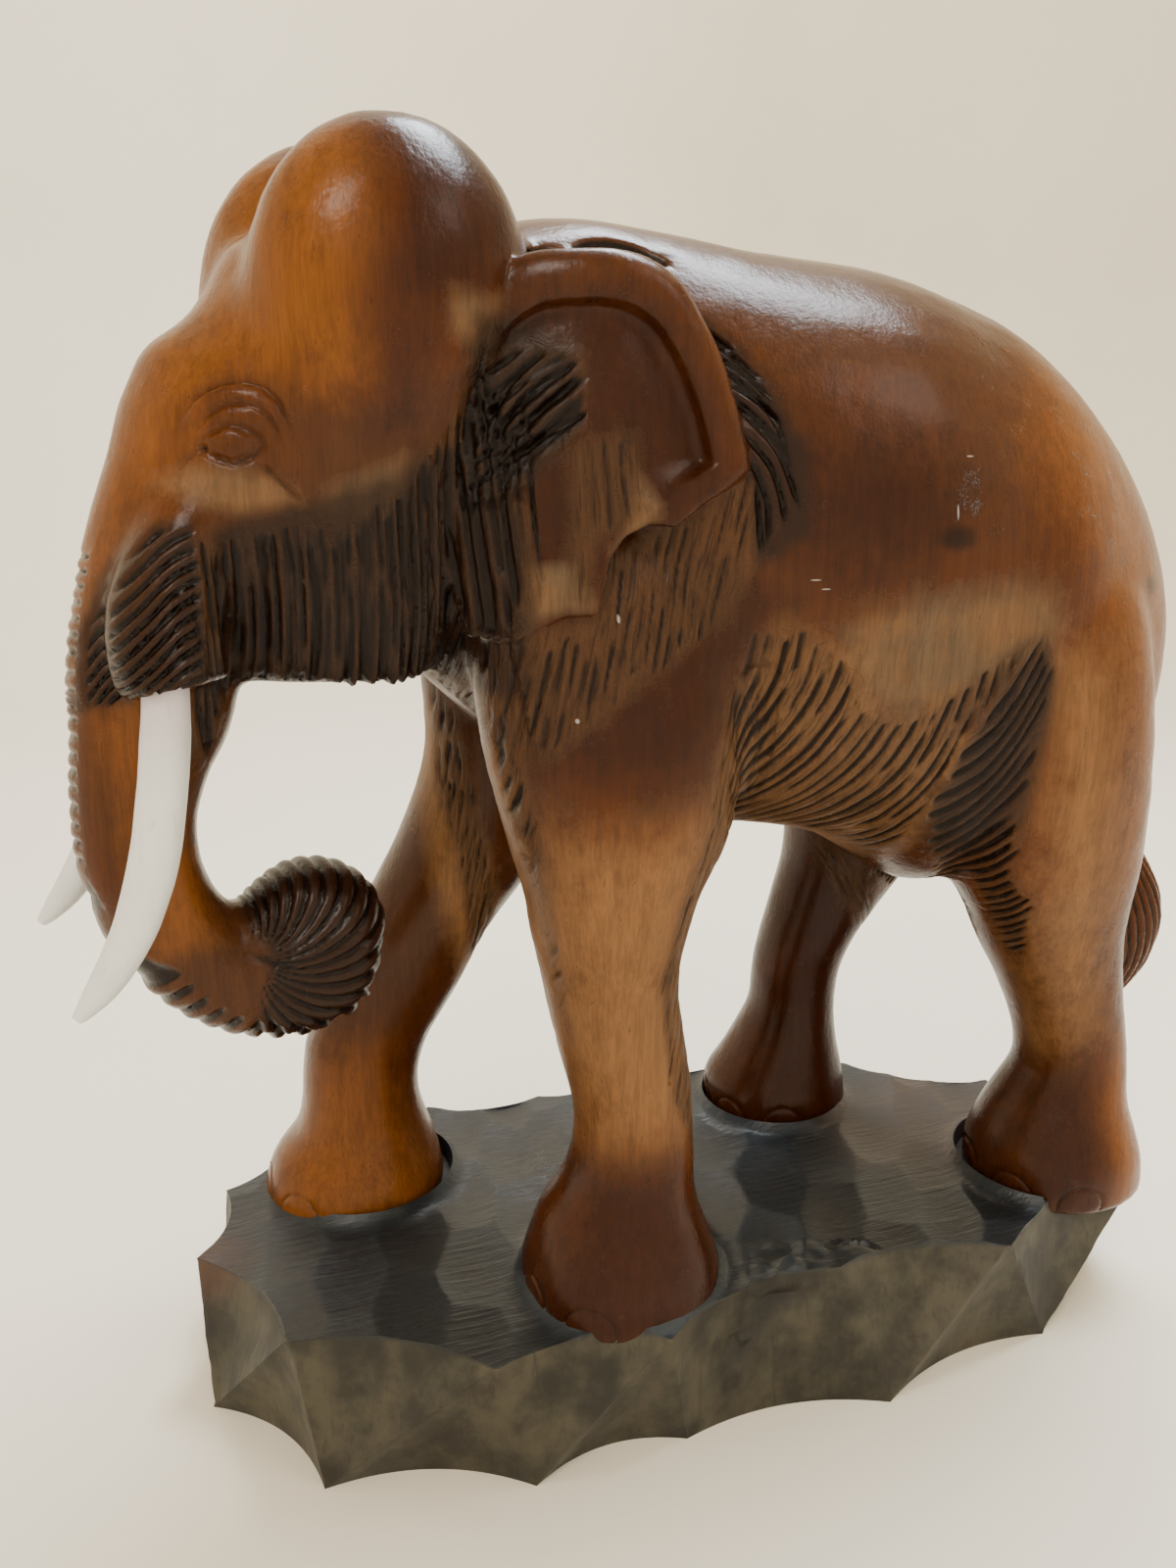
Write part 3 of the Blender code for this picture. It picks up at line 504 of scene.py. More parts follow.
def hairCut(coords, headX, headY, sideways):  # also gives the flow that the finish follows between the strokes
    x, y, z = coords.T
    cut = np.zeros(len(x))
    hairy = np.zeros(len(x))
    flow = np.zeros((len(x), 2))
    for index, (turns, outline, way, fade, layers) in enumerate(hair.values()):
        across, depthways = (headX, headY) if turns else (x, y)
        outline = np.array(outline, dtype=float)
        low, high = outline.min(axis=0), outline.max(axis=0)
        near = np.nonzero((across > low[0]) & (across < high[0]) & (z > low[1]) & (z < high[1])
                          & (np.abs(depthways) > 12))[0]
        inside = depthInside(across[near], z[near], outline)
        flowAcross, flowAlong = flowing(across[near], z[near], outline, way)
        within = inside > -1.5
        flow[near[within]] = np.column_stack([flowAcross, flowAlong])[within]
        hairy[near] = np.maximum(hairy[near], sideways[near] * np.clip(inside / 3, 0, 1))
        side = 40.0 * (y[near] > 0)
        for layer, (spacing, depth, length) in enumerate(layers):
            seed = 11 * index + 3 * layer + side
            row = np.floor(flowAcross / spacing) + seed
            edge = np.clip((inside - fade * scattered(row + 5)) / 1.5, 0, 1)
            cut[near] += sideways[near] * edge * strokes(flowAcross, flowAlong, spacing, depth, length, seed)
    return cut, hairy, flow


# long single strokes behind the ear, each from its root to its tip
singleStrokes = [
    [(-26, 293), (-19, 288), (-14, 284)], [(-24, 290), (-15, 283), (-7, 276)], [(-22, 285), (-12, 278), (-5, 271)],
    [(-21, 282), (-11, 274), (-3, 265)], [(-20, 278), (-8, 270), (-2, 258)], [(-20, 275), (-8, 265), (-1, 254)],
    [(-17, 271), (-6, 260), (1, 242)], [(-16, 265), (-7, 254), (-3, 238)], [(-14, 259), (-9, 247), (-8, 233)],
    [(-12, 252), (-11, 244), (-10, 232)], [(-85, 260), (-78, 273), (-71, 281)], [(-83, 258), (-73, 272), (-62, 280)],
    [(-82, 256), (-69, 269), (-57, 278)], [(-80, 254), (-68, 264), (-58, 272)], [(-78, 256), (-68, 263), (-58, 269)]]
neckSlits = [
    [(-66, 308.5), (-60, 310), (-55, 309)], [(-53, 311), (-44, 313), (-36, 312), (-32, 311)],
    [(-44, 311), (-35, 311.5), (-26, 307)]]


def sheathCut(headX, z):  # nested quarter arcs over the tusk's root
    left = -158.5 - headX
    outline = [(-159.5, 243), (-159.5, 206), (-163, 202), (-176, 197), (-191, 194), (-187, 214), (-179, 231),
               (-170, 242)]
    inside = depthInside(headX, z, outline)
    phase = (z + 0.3 * left + 0.021 * left ** 2) / 3.75 + 0.05 * np.sin(left * 0.5)
    row = np.floor(phase)
    edge = np.clip((inside - 2.0 * scattered(row + 2)) / 2.0, 0, 1)
    return 2.3 * edge * (0.75 + 0.25 * scattered(row)) * ropeGroove(phase, 1.05)


def eyeCut(x, z):
    cut = lineCut(x, z, [(-161, 264), (-157, 271), (-149, 275), (-141, 271.5), (-136.5, 259)], 0.65, 1.5)
    cut += lineCut(x, z, [(-159, 261), (-154.5, 267.5), (-148.5, 270), (-142.5, 267), (-139, 257)], 0.6, 1.5)
    cut += lineCut(x, z, [(-163, 254), (-158, 258.5), (-154, 261)], 0.6, 1.1)
    cut += lineCut(x, z, [(-146, 257), (-141, 252), (-135, 245.5)], 0.8, 1.5)
    # a small almond with flat planes, sunk under the upper lid
    across, up = x + 150.5, z - 260.5
    almond = np.hypot(across / 6.4, up / 4.6) + 0.12 * np.abs(np.sin(2.0 * np.arctan2(up, across)))
    cut += 1.3 * np.exp(-((almond - 1.0) / 0.16) ** 2) - 0.8 * np.clip((0.95 - almond) / 0.4, 0, 1)
    lid = np.hypot(across, (up - 5.0) * 1.1)
    return cut - 0.6 * np.exp(-((lid - 7.2) / 1.5) ** 2) * (up > 5.0)


def trunkCut(x, y, z):  # teeth down the front, growing into rope under the curl
    middle = [(row[0], row[2]) for row in head["trunk"][2:13]]
    travelled, outward, nearest, _ = followPath(x, z, smoothRows(middle, 6))
    lower = np.clip((travelled - 78) / 30, 0, 1)
    halfWidth = 7.0 + 9 * lower
    band = np.clip((halfWidth - np.abs(y)) / 1.6, 0, 1) * (outward > 5) * (nearest < 30)
    slant = 0.10 * np.abs(y) + 0.1 * lower * y
    phase = (travelled + slant) / (3.9 + 1.1 * lower)
    return band * (1.25 + 0.6 * lower) * ropeGroove(phase, 1.1) * (z < 246)


def curlCut(x, y, z):  # ridges that fan out from the scar at the middle of the spiral
    dx, dz = x + 150, z - 122
    away = np.hypot(dx, dz)
    angle = np.degrees(np.arctan2(dz, dx))
    phase = (angle - 0.9 * away) / 10.5
    fromBall = np.hypot(x - head["curl"][0], z - head["curl"][1])
    within = (np.clip((31 - fromBall) / 2, 0, 1) * np.clip((away - 2.5) / 5, 0, 1)
              * np.clip((x + 154) / 5, 0, 1) * np.clip((angle + 100) / 12, 0, 1) * np.clip((98 - angle) / 12, 0, 1))
    scar = 0.9 * np.exp(-(((x + 147) / 5.5) ** 2 + ((z - 122 + 0.5 * (x + 147)) / 1.6) ** 2))
    return 1.5 * within * ropeGroove(phase, 1.2) + scar


def tuftCut(x, y, z):
    path = smoothRows([row[:3] for row in body["tuft"]], 4)
    middleX = np.interp(z, path[::-1, 2], path[::-1, 0])
    middleY = np.interp(z, path[::-1, 2], path[::-1, 1])
    angle = np.degrees(np.arctan2(y - middleY, x - middleX))
    within = np.clip((124 - z) / 6, 0, 1) * np.clip((z - 55) / 5, 0, 1) * np.clip((x - 154) / 4, 0, 1)
    twist = angle + 1.1 * (z - 90)
    return within * (1.2 * ropeGroove(twist / 18.0) + strokes(twist / 6, z, 1.3, 0.5, 18, 5.0))


def tailCut(x, y, z):  # rings across the tail
    within = (x > 150) * (np.abs(y + 4) < 14) * np.clip((z - 128) / 8, 0, 1) * np.clip((212 - z) / 8, 0, 1)
    return within * np.clip((x - 158) / 4, 0, 1) * 0.55 * vGroove(z / 7.5 + 0.1 * np.sin(z), 0.12)


nails = {
    "angles": {"frontLeft": (-36, 8, 52), "frontRight": (-48, -4, 42), "rearLeft": (-22, 24, 70),
               "rearRight": (-24, 24, 70)},
    "radius": 8.5, "height": -1.5, "width": 0.38, "depth": 0.7, "lift": 0.15,
}


def nailsCut(x, y, z):
    cut = np.zeros(len(x))
    for name, (side, rows) in legs.items():
        footX, footY, rx, ry = rows[1][1:]
        dx, dy = (x - footX) / rx, (y - side * footY) / ry
        out = np.hypot(dx, dy)
        angle = np.degrees(np.arctan2(-dy, -dx))
        close = (out > 0.6) & (out < 1.2) & (z > -3) & (z < 22)
        for nail in nails["angles"][name]:
            around = np.radians((angle - nail + 180) % 360 - 180) * rx
            away = np.hypot(around, z - nails["height"]) - nails["radius"]
            cut += close * (nails["depth"] * np.exp(-(away / nails["width"]) ** 2)
                            - nails["lift"] * np.clip(-away / 1.5, 0, 1) * np.clip(1 + away / 9, 0, 1))
    return cut


# side-view dents that model the muscles: x, z, half length, half height, depth
muscles = [
    (52, 206, 34, 22, 2.2), (-6, 232, 12, 34, 1.3), (100, 236, 20, 30, -1.6), (-42, 160, 20, 44, -1.2),
    (-8, 168, 12, 30, 1.2), (128, 150, 16, 40, 0.8)]


def muscleCut(x, y, z):
    cut = np.zeros(len(x))
    for centreX, centreZ, halfLength, halfHeight, depth in muscles:
        away = ((x - centreX) / halfLength) ** 2 + ((z - centreZ) / halfHeight) ** 2
        cut += depth * np.exp(-1.6 * away) * np.clip((np.abs(y) - 20) / 20, 0, 1)
    return cut


def locks(headX, headY, z):  # the cheek's hair ends in uneven rounded points along its lower edge
    phase = headX / 4.6 + 0.25 * np.sin(headX * 0.4)
    row = np.floor(phase)
    point = np.clip(1 - np.abs(2 * (phase - row) - 1) ** 2.2, 0, 1) * (0.35 + 0.65 * scattered(row + 9))
    near = np.clip((214 - z) / 9, 0, 1) * np.clip((z - 190) / 6, 0, 1)
    region = np.clip((-98 - headX) / 5, 0, 1) * np.clip((headX + 152) / 5, 0, 1)
    return 3.4 * point * near * region * np.clip((np.abs(headY) - 24) / 6, 0, 1)


def toolMarks(x, y, z):  # the faint hand-worked unevenness of the whole surface
    return 0.16 * mottle(x, y, z, 9.0, 1) + 0.05 * mottle(x, y, z, 2.6, 2)


tintSoftness = {"broad": 2.2, "small": 1.3}
# stain colours laid on by hand, and a speckled bluish-grey painted highlight on the dome top, back and rump: turns
# with the head, which side (0 for both), softness of the edge, outline
tints = {
    "amber": [
        (True, 0, 6, [(-205, 225), (-195, 300), (-150, 345), (-119, 345), (-116, 312), (-122, 293), (-119, 277),
                      (-128, 270), (-136, 276), (-148, 275), (-156, 266), (-160, 256), (-172, 243), (-180, 225)]),
        (True, 0, 5, [(-205, 228), (-180, 228), (-172, 243), (-166, 243), (-169, 228), (-180, 214), (-184, 196),
                      (-205, 196)]),
        (False, 0, 12, [(95, 288), (125, 278), (152, 242), (180, 200), (172, 140), (132, 112), (124, 140),
                        (118, 190), (103, 231), (80, 262)]),
        (False, 1, 8, [(-150, -8), (-142, 20), (-130, 50), (-104, 62), (-90, 30), (-82, -8)]),
        (False, -1, 7, [(140, -8), (138, 30), (146, 60), (160, 70), (175, 40), (176, -8)]),
        (True, 0, 4, [(-172, 212), (-164, 160), (-160, 130), (-176, 128), (-182, 160), (-184, 190)])],
    "darkRed": [
        (True, 0, 7, [(-112, 350), (-84, 350), (-66, 310), (-91, 293), (-107, 288), (-107, 266), (-116, 262),
                      (-122, 292)]),
        (False, 0, 5, [(-86, 289), (-67, 298), (-39, 297), (-22, 271), (-17, 252), (-33, 238), (-57, 220),
                       (-69, 213), (-84, 213), (-90, 235), (-88, 273)]),
        (False, 0, 8, [(-84, 213), (-54, 215), (-15, 236), (-2, 224), (-12, 191), (-26, 171), (-50, 168),
                       (-70, 174), (-80, 189)]),
        (False, 0, 12, [(-11, 272), (10, 268), (43, 264), (58, 244), (40, 221), (7, 224), (-9, 232)]),
        (False, 0, 6, [(-76, -8), (-74, 12), (-62, 30), (-55, 47), (-28, 48), (-14, 22), (-3, -8)]),
        (False, -1, 7, [(104, -8), (110, 20), (120, 44), (134, 48), (141, 20), (140, -8)]),
        (False, 1, 8, [(30, -8), (46, 30), (56, 90), (64, 130), (96, 130), (92, 90), (94, 40), (100, -8)])],
    "brown": [
        (True, 0, 5, [(-139, 274), (-107, 270), (-100, 254), (-131, 248), (-139, 259)]),
        (False, 0, 14, [(-16, 335), (27, 335), (71, 325), (104, 296), (87, 272), (57, 259), (13, 269), (-13, 277)]),
        (False, 1, 10, [(-140, 50), (-100, 60), (-80, 90), (-40, 170), (-90, 200), (-104, 150)])],
    "tan": [
        (False, -1, 10, [(-66, 158), (-24, 162), (-16, 110), (-16, 54), (-54, 52), (-66, 100), (-72, 135)]),
        (False, 0, 10, [(88, 206), (113, 196), (126, 124), (134, 64), (120, 50), (108, 84), (97, 112), (92, 150)]),
        (False, 0, 4, [(-14, 196), (-4, 214), (22, 204), (30, 186), (46, 184), (66, 176), (60, 140), (55, 110),
                       (1, 110), (-14, 150)]),
        (False, 0, 3, [(-90, 192), (-80, 180), (-72, 150), (-62, 112), (-54, 66), (-70, 60), (-84, 120)]),
        (False, 0, 3, [(-22, 180), (-12, 196), (2, 150), (-12, 116), (-16, 60), (-32, 66), (-36, 112)])],
    "taupe": [
        (True, 0, 2, [(-167, 252), (-160, 246), (-148, 244), (-134, 246), (-142, 253), (-147, 255), (-159, 256)]),
        (True, 0, 2, [(-132, 250), (-122, 254), (-111, 259), (-110, 246), (-122, 241), (-132, 245)]),
        (True, 0, 2, [(-103, 296), (-87, 295), (-90, 282), (-102, 285)]),
        (False, 0, 1.5, [(-55, 234), (-50, 241), (-46, 255), (-38, 243), (-45, 240)]),
        (False, 0, 1.5, [(-77, 231), (-62, 232), (-57, 219), (-66, 219), (-74, 215), (-79, 215)]),
        (False, 0, 5, [(10, 213), (41, 223), (86, 223), (93, 209), (80, 200), (60, 187), (51, 184), (38, 183),
                       (24, 190)]),
        (False, 0, 4, [(-98, 212), (-86, 208), (-84, 186), (-92, 176)])],
    "black": [
        (False, 0, 5, [(57, 150), (59, 172), (72, 192), (86, 206), (92, 192), (88, 150), (80, 132), (66, 134)]),
        (True, 0, 3, [(-159, 240), (-92, 262), (-82, 240), (-84, 196), (-106, 198), (-154, 198), (-159, 176)]),
        (True, 0, 2, [(-160, 244), (-160, 205), (-190, 194), (-188, 214), (-178, 233), (-170, 243)]),
        (True, 0, 3, [(-152, 100), (-134, 88), (-112, 92), (-100, 116), (-112, 142), (-138, 150), (-152, 138),
                      (-146, 122)]),
        (False, 0, 3, [(-86, 292), (-88, 250), (-76, 246), (-62, 262), (-60, 284), (-72, 290)]),
        (False, 0, 3, [(-24, 296), (-12, 286), (3, 262), (3, 236), (-12, 228), (-14, 250), (-20, 274)])],
    # painted highlight: a speckled bluish-grey sheen where the light glints on the dome top, the back and the rump
    "paintedSheen": [
        (True, 0, 5, [(-102, 345), (-84, 345), (-80, 322), (-98, 326)]),
        (False, 0, 8, [(96, 270), (122, 262), (130, 236), (110, 226), (92, 246)]),
        (False, 0, 3, [(46, 246), (58, 262), (64, 254), (54, 236)])],
}


def tintElephant(mesh, coords, headX, headY):
    x, y, z = coords.T
    for name, areas in tints.items():
        tint = np.zeros(len(x))
        for turns, side, softness, outline in areas:
            across, depthways = (headX, headY) if turns else (x, y)
            outline = np.array(outline, dtype=float)
            softness = softness * (tintSoftness["small"] if name in ("black", "paintedSheen") else tintSoftness["broad"])
            low, high = outline.min(axis=0) - softness, outline.max(axis=0) + softness
            near = np.nonzero((across > low[0]) & (across < high[0]) & (z > low[1]) & (z < high[1])
                              & (side * depthways >= 0))[0]
            inside = depthInside(across[near], z[near], outline)
            tint[near] = np.maximum(tint[near], np.clip(0.5 + 0.5 * inside / softness, 0, 1) ** 1.2)
        keepValue(mesh, name, tint)


def carveElephant(elephant):
    mesh = elephant.data
    coords = toMillimetres(mesh)
    normals = normalsOf(mesh)
    x, y, z = coords.T
    headX, headY = headTurned(x, y, -neck["turn"])
    sideways = np.clip((np.abs(normals[:, 1]) - 0.12) / 0.25, 0, 1)
    soft = muscleCut(x, y, z) + toolMarks(x, y, z)
    cut, hairy, flow = hairCut(coords, headX, headY, sideways)
    cut += nailsCut(x, y, z) + tuftCut(x, y, z) + tailCut(x, y, z)
    part = np.nonzero((headX < -72) & (z > 80))[0]
    hx, hy, hz = headX[part], headY[part], z[part]
    outer = sideways[part] * (np.abs(hy) > 20)
    eye = np.zeros(len(x))
    eye[part] = outer * eyeCut(hx, hz)
    cut[part] += trunkCut(hx, hy, hz) + curlCut(hx, hy, hz)
    cut[part] += sheathCut(hx, hz) * np.clip((np.abs(normals[part, 1]) - 0.05) / 0.3, 0, 1) * (np.abs(hy) > 10)
    beside = np.nonzero((x > -90) & (x < 6) & (z > 225) & (np.abs(y) > 40))[0]
    for points in singleStrokes:
        cut[beside] += lineCut(x[beside], z[beside], points, 0.75, 1.9) * sideways[beside]
    slits = np.nonzero((x > -70) & (x < -20) & (z > 296) & (y < 0))[0]
    for points in neckSlits:
        cut[slits] += lineCut(x[slits], z[slits], points, 0.9, 2.8)
    tintElephant(mesh, coords, headX, headY)
    coords[:, 2] -= locks(headX, headY, z)
    coords -= normals * (cut + eye + soft)[:, None]
    moveTo(mesh, coords)
    # the cut depth is kept for the finish, which paints shade into the grooves with it
    keepValue(mesh, "cut", cut + 0.4 * eye)
    keepValue(mesh, "hairy", hairy)
    keepValue(mesh, "flowAcross", flow[:, 0])
    keepValue(mesh, "flowAlong", flow[:, 1])


def thin(obj, triangles):
    count = sum(len(face.vertices) - 2 for face in obj.data.polygons)
    if count > triangles:
        reduce = obj.modifiers.new("thin", "DECIMATE")
        reduce.ratio = triangles / count
        finishModifiers(obj)
    pickOnly([obj])
    bpy.ops.object.shade_smooth()


base = {
    # corners at its top edge and cusps on the floor, in turn round it
    "top": [
        (-170, 17), (-146, -33), (-89, -66), (-36, -72), (30, -60), (91, -70), (165, -51), (172, -8), (155, 26),
        (105, 61), (68, 83), (15, 81), (-30, 80), (-76, 86), (-126, 88), (-158, 54)],
    "floor": [
        (-169, 0), (-139, -46), (-78, -67), (-27, -66), (43, -75), (113, -66), (148, -34), (160, 8), (128, 42),
        (84, 67), (47, 73), (-12, 73), (-50, 77), (-106, 81), (-138, 67), (-164, 34)],
    "scoop": 7.0, "steps": 34, "collarWidth": 3.5, "collarHeight": 3.0, "grid": 1.25,
    "gougePitch": 20.0, "gougeLength": 38.0, "gougeDepth": 1.3, "triangles": 120000, "arrisAngle": 28,
}


def gougedFace(mesh, edgeLayer, first, second, apex):
    first, second, apex = (np.array(point, dtype=float) for point in (first, second, apex))
    normal = np.cross(second - first, apex - first)
    normal /= np.linalg.norm(normal)
    if np.dot(normal[:2], (first + second + apex)[:2]) < 0:
        normal = -normal
    steps = base["steps"]
    depth = min(base["scoop"], 0.14 * np.linalg.norm(second - first))
    verts = {}
    for row in range(steps + 1):
        c = row / steps
        for column in range(steps - row + 1):
            b = column / steps
            a = 1 - b - c
            hollow = depth * 4 * a * b / (1 - c) if row < steps else 0.0
            point = a * first + b * second + c * apex - normal * hollow
            if row == 0:
                point[2] = first[2]
            vert = mesh.verts.new(point)
            vert[edgeLayer] = 1.0 if min(a, b, c) < 1e-6 else 0.0
            verts[row, column] = vert
    for row in range(steps):
        for column in range(steps - row):
            mesh.faces.new((verts[row, column], verts[row, column + 1], verts[row + 1, column]))
            if column < steps - row - 1:
                mesh.faces.new((verts[row, column + 1], verts[row + 1, column + 1], verts[row + 1, column]))
    return [verts[0, column].co.xy.copy() for column in range(steps)]


def footPrints():  # each foot's middle, half length and half width at the level of the base's top
    for side, rows in legs.values():
        footX, footY, rx, ry = rows[1][1:]
        yield 0.97 * footX, side * 0.96 * footY, rx, ry


def footDistance(x, y):  # distance outside the nearest foot
    nearest = np.full(len(x), farAway)
    for footX, footY, rx, ry in footPrints():
        dx, dy = (x - footX), (y - footY)
        out = np.hypot(dx / rx, dy / ry)
        nearest = np.minimum(nearest, (out - 1) * np.hypot(dx, dy) / np.maximum(out, 1e-6))
    return nearest


def gougeRelief(x, y):  # shallow gouge strokes laid side by side, the deepest of them at each place
    patch = np.zeros(len(x))
    lowest = np.zeros(len(x))
    count = 0
    for area, (angle, lowX, highX) in enumerate(((62, -25, 190), (80, -190, -20))):
        along = np.array((math.cos(math.radians(angle)), math.sin(math.radians(angle))))
        across = np.array((along[1], -along[0]))
        for column in range(-14, 15):
            for row in range(-5, 6):
                count += 1
                shiftA, shiftB, shiftC = (float(scattered(np.array(count * 3.7 + k))) - 0.5 for k in (0, 1, 2))
                middle = (across * base["gougePitch"] * (column + 0.35 * shiftA)
                          + along * base["gougeLength"] * (row + 0.5 * (column % 2) + 0.5 * shiftB)
                          + (60 * (1 - 2 * area), 0))
                if not lowX < middle[0] < highX or abs(middle[1]) > 110:
                    continue
                turn = math.radians(angle + 16 * shiftC)
                u = (x - middle[0]) * math.cos(turn) + (y - middle[1]) * math.sin(turn)
                v = -(x - middle[0]) * math.sin(turn) + (y - middle[1]) * math.cos(turn)
                depth = base["gougeDepth"] * (1 + 0.7 * shiftB)
                height = depth * ((u / 27) ** 2 + (v / 13.5) ** 2 - 1)
                deeper = height < lowest
                lowest = np.where(deeper, height, lowest)
                patch = np.where(deeper, count, patch)
    return lowest, scattered(patch * 1.7)


def knotRelief(x, y, z):
    away = np.hypot((x - 12) / 17, (y + 53) / 12)
    clump = np.clip(1.15 - away, 0, 1)
    lumps = 1.5 * mottle(x, y, z, 5.2, 4) + 0.9 * mottle(x, y, z, 2.6, 5)
    return clump ** 0.7 * (0.9 + lumps)


def shapeBase():
    mesh = bmesh.new()
    edgeLayer = mesh.verts.layers.float.new("arris")
    top = [(x, y, 0.0) for x, y in base["top"]]
    floor = [(x, y, -stand["height"]) for x, y in base["floor"]]
    rim = []
    for index in range(len(top)):
        following = (index + 1) % len(top)
        rim += gougedFace(mesh, edgeLayer, top[index], top[following], floor[index])
        gougedFace(mesh, edgeLayer, floor[index], floor[following], top[following])
    # the top is a fine net with extra rings of points round the feet
    low = np.min(rim, axis=0)
    high = np.max(rim, axis=0)
    gridX, gridY = np.meshgrid(*(np.arange(low[axis], high[axis], base["grid"]) for axis in (0, 1)))
    points = np.column_stack([gridX.ravel() + 0.3 * base["grid"] * np.sin(gridY.ravel() * 7.1), gridY.ravel()])
    gap = footDistance(points[:, 0], points[:, 1])
    inner = depthInside(points[:, 0], points[:, 1], np.array(rim)) > 0.7
    points = points[inner & ((gap > 4.4) | (gap < -1.6))]
    rings = []
    for footX, footY, rx, ry in footPrints():
        angles = np.linspace(0, 2 * math.pi, 190, endpoint=False)
        for out in (-1.0, -0.35, 0.15, 0.6, 1.2, 2.0, 2.9, 3.8):
            rings.append(np.column_stack([footX + (rx + out) * np.cos(angles),
                                          footY + (ry + out) * np.sin(angles)]))
    rings = np.vstack(rings)
    inner = depthInside(rings[:, 0], rings[:, 1], np.array(rim)) > 0.5
    points = np.vstack([points, rings[inner]])
    coords = [Vector(point) for point in rim] + [Vector(point) for point in points.tolist()]
    edges = [(index, (index + 1) % len(rim)) for index in range(len(rim))]
    verts, _, faces, _, _, _ = delaunay_2d_cdt(coords, edges, [], 1, 1e-5)
    net = [mesh.verts.new((vert.x, vert.y, 0.0)) for vert in verts]
    for face in faces:
        mesh.faces.new([net[index] for index in face])
    bmesh.ops.remove_doubles(mesh, verts=mesh.verts, dist=1e-3)
    bmesh.ops.holes_fill(mesh, edges=[edge for edge in mesh.edges if edge.is_boundary], sides=0)
    bmesh.ops.recalc_face_normals(mesh, faces=mesh.faces)
    data = bpy.data.meshes.new("base")
    for vert in mesh.verts:
        vert.co = toMetres([vert.co])[0]
    mesh.to_mesh(data)
    mesh.free()
    return newObject("base", data)


def carveBase(obj):
    mesh = obj.data
    coords = toMillimetres(mesh)
    normals = normalsOf(mesh)
    x, y, z = coords.T.copy()
    arris = np.empty(len(x), dtype=np.float32)
    mesh.attributes["arris"].data.foreach_get("value", arris)
    onTop = z > -0.001
    onFloor = z < 0.001 - stand["height"]
    relief, patch = gougeRelief(x, y)
    gap = footDistance(x, y)
    lip = base["collarHeight"] * np.clip(1 - gap / (base["collarWidth"] + 1.2), 0, 1) ** 2
    lip = np.where(gap < 0.1, 2.6 + 6.0 * np.minimum(gap - 0.1, 0), lip)
    lip = np.where(gap < -0.9, -3.4, lip)
    calm = np.clip((gap - 1.0) / 6, 0, 1)
    crack = lineCut(x, y, [(29, -51), (35, -49), (42, -51), (48, -57)], 0.9, 2.0)
    height = relief * calm + lip + 0.06 * mottle(x, y * 3, z, 2.0, 3) + calm * knotRelief(x, y, z) - crack
    # nothing stands above the plain top near the rim, so the facets keep their edges
    rimNear = np.clip(1 - arris, 0, 1)
    coords[:, 2] += np.where(onTop, np.where(rimNear < 0.5, np.minimum(height, 0.3), height), 0.0)
    # the sides: fine tool marks, worn arrises and one broken place below the knot
    side = ~onTop & ~onFloor
    marks = 0.10 * mottle(x, y, z * 0.25, 1.6, 6) + 0.18 * mottle(x, y, z, 8.0, 7)
    worn = arris * (0.25 + 0.55 * np.clip(mottle(x, y, z, 4.0, 8), 0, 1)
                    + 0.9 * np.clip(mottle(x, y, z, 11.0, 9) - 0.45, 0, 1))
    broken = np.clip(1.2 - np.hypot((x + 4 - 0.35 * (z + 20)) / 13, (z + 20) / 22), 0, 1) * (y < 0)
    rough = broken * (2.2 + 2.0 * mottle(x, y, z * 0.6, 6.0, 10) + 1.2 * mottle(x, y, z, 2.4, 11))
    pit = 2.5 * np.exp(-(((x - 12) / 7) ** 2 + ((z + 8) / 2.5) ** 2)) * (y < 0)
    inward = np.where(side, marks + worn + np.clip(rough, 0, 6) + pit, 0.0)
    flatNormals = normals.copy()
    flatNormals[:, 2] *= 0.3
    coords -= flatNormals * inward[:, None]
    coords[onFloor, 2] = -stand["height"]
    moveTo(mesh, coords)
    keepValue(mesh, "topSide", np.where(onTop, 1.0, 0.0))
    keepValue(mesh, "patch", patch)
    # depth of the gouges below the top, and of the broken place and pit on the sides, for painted shade in the
    # finish
    keepValue(mesh, "low", np.where(onTop, np.clip(-height / 1.5, 0, 1), np.clip(rough / 4 + pit / 3, 0, 1)))


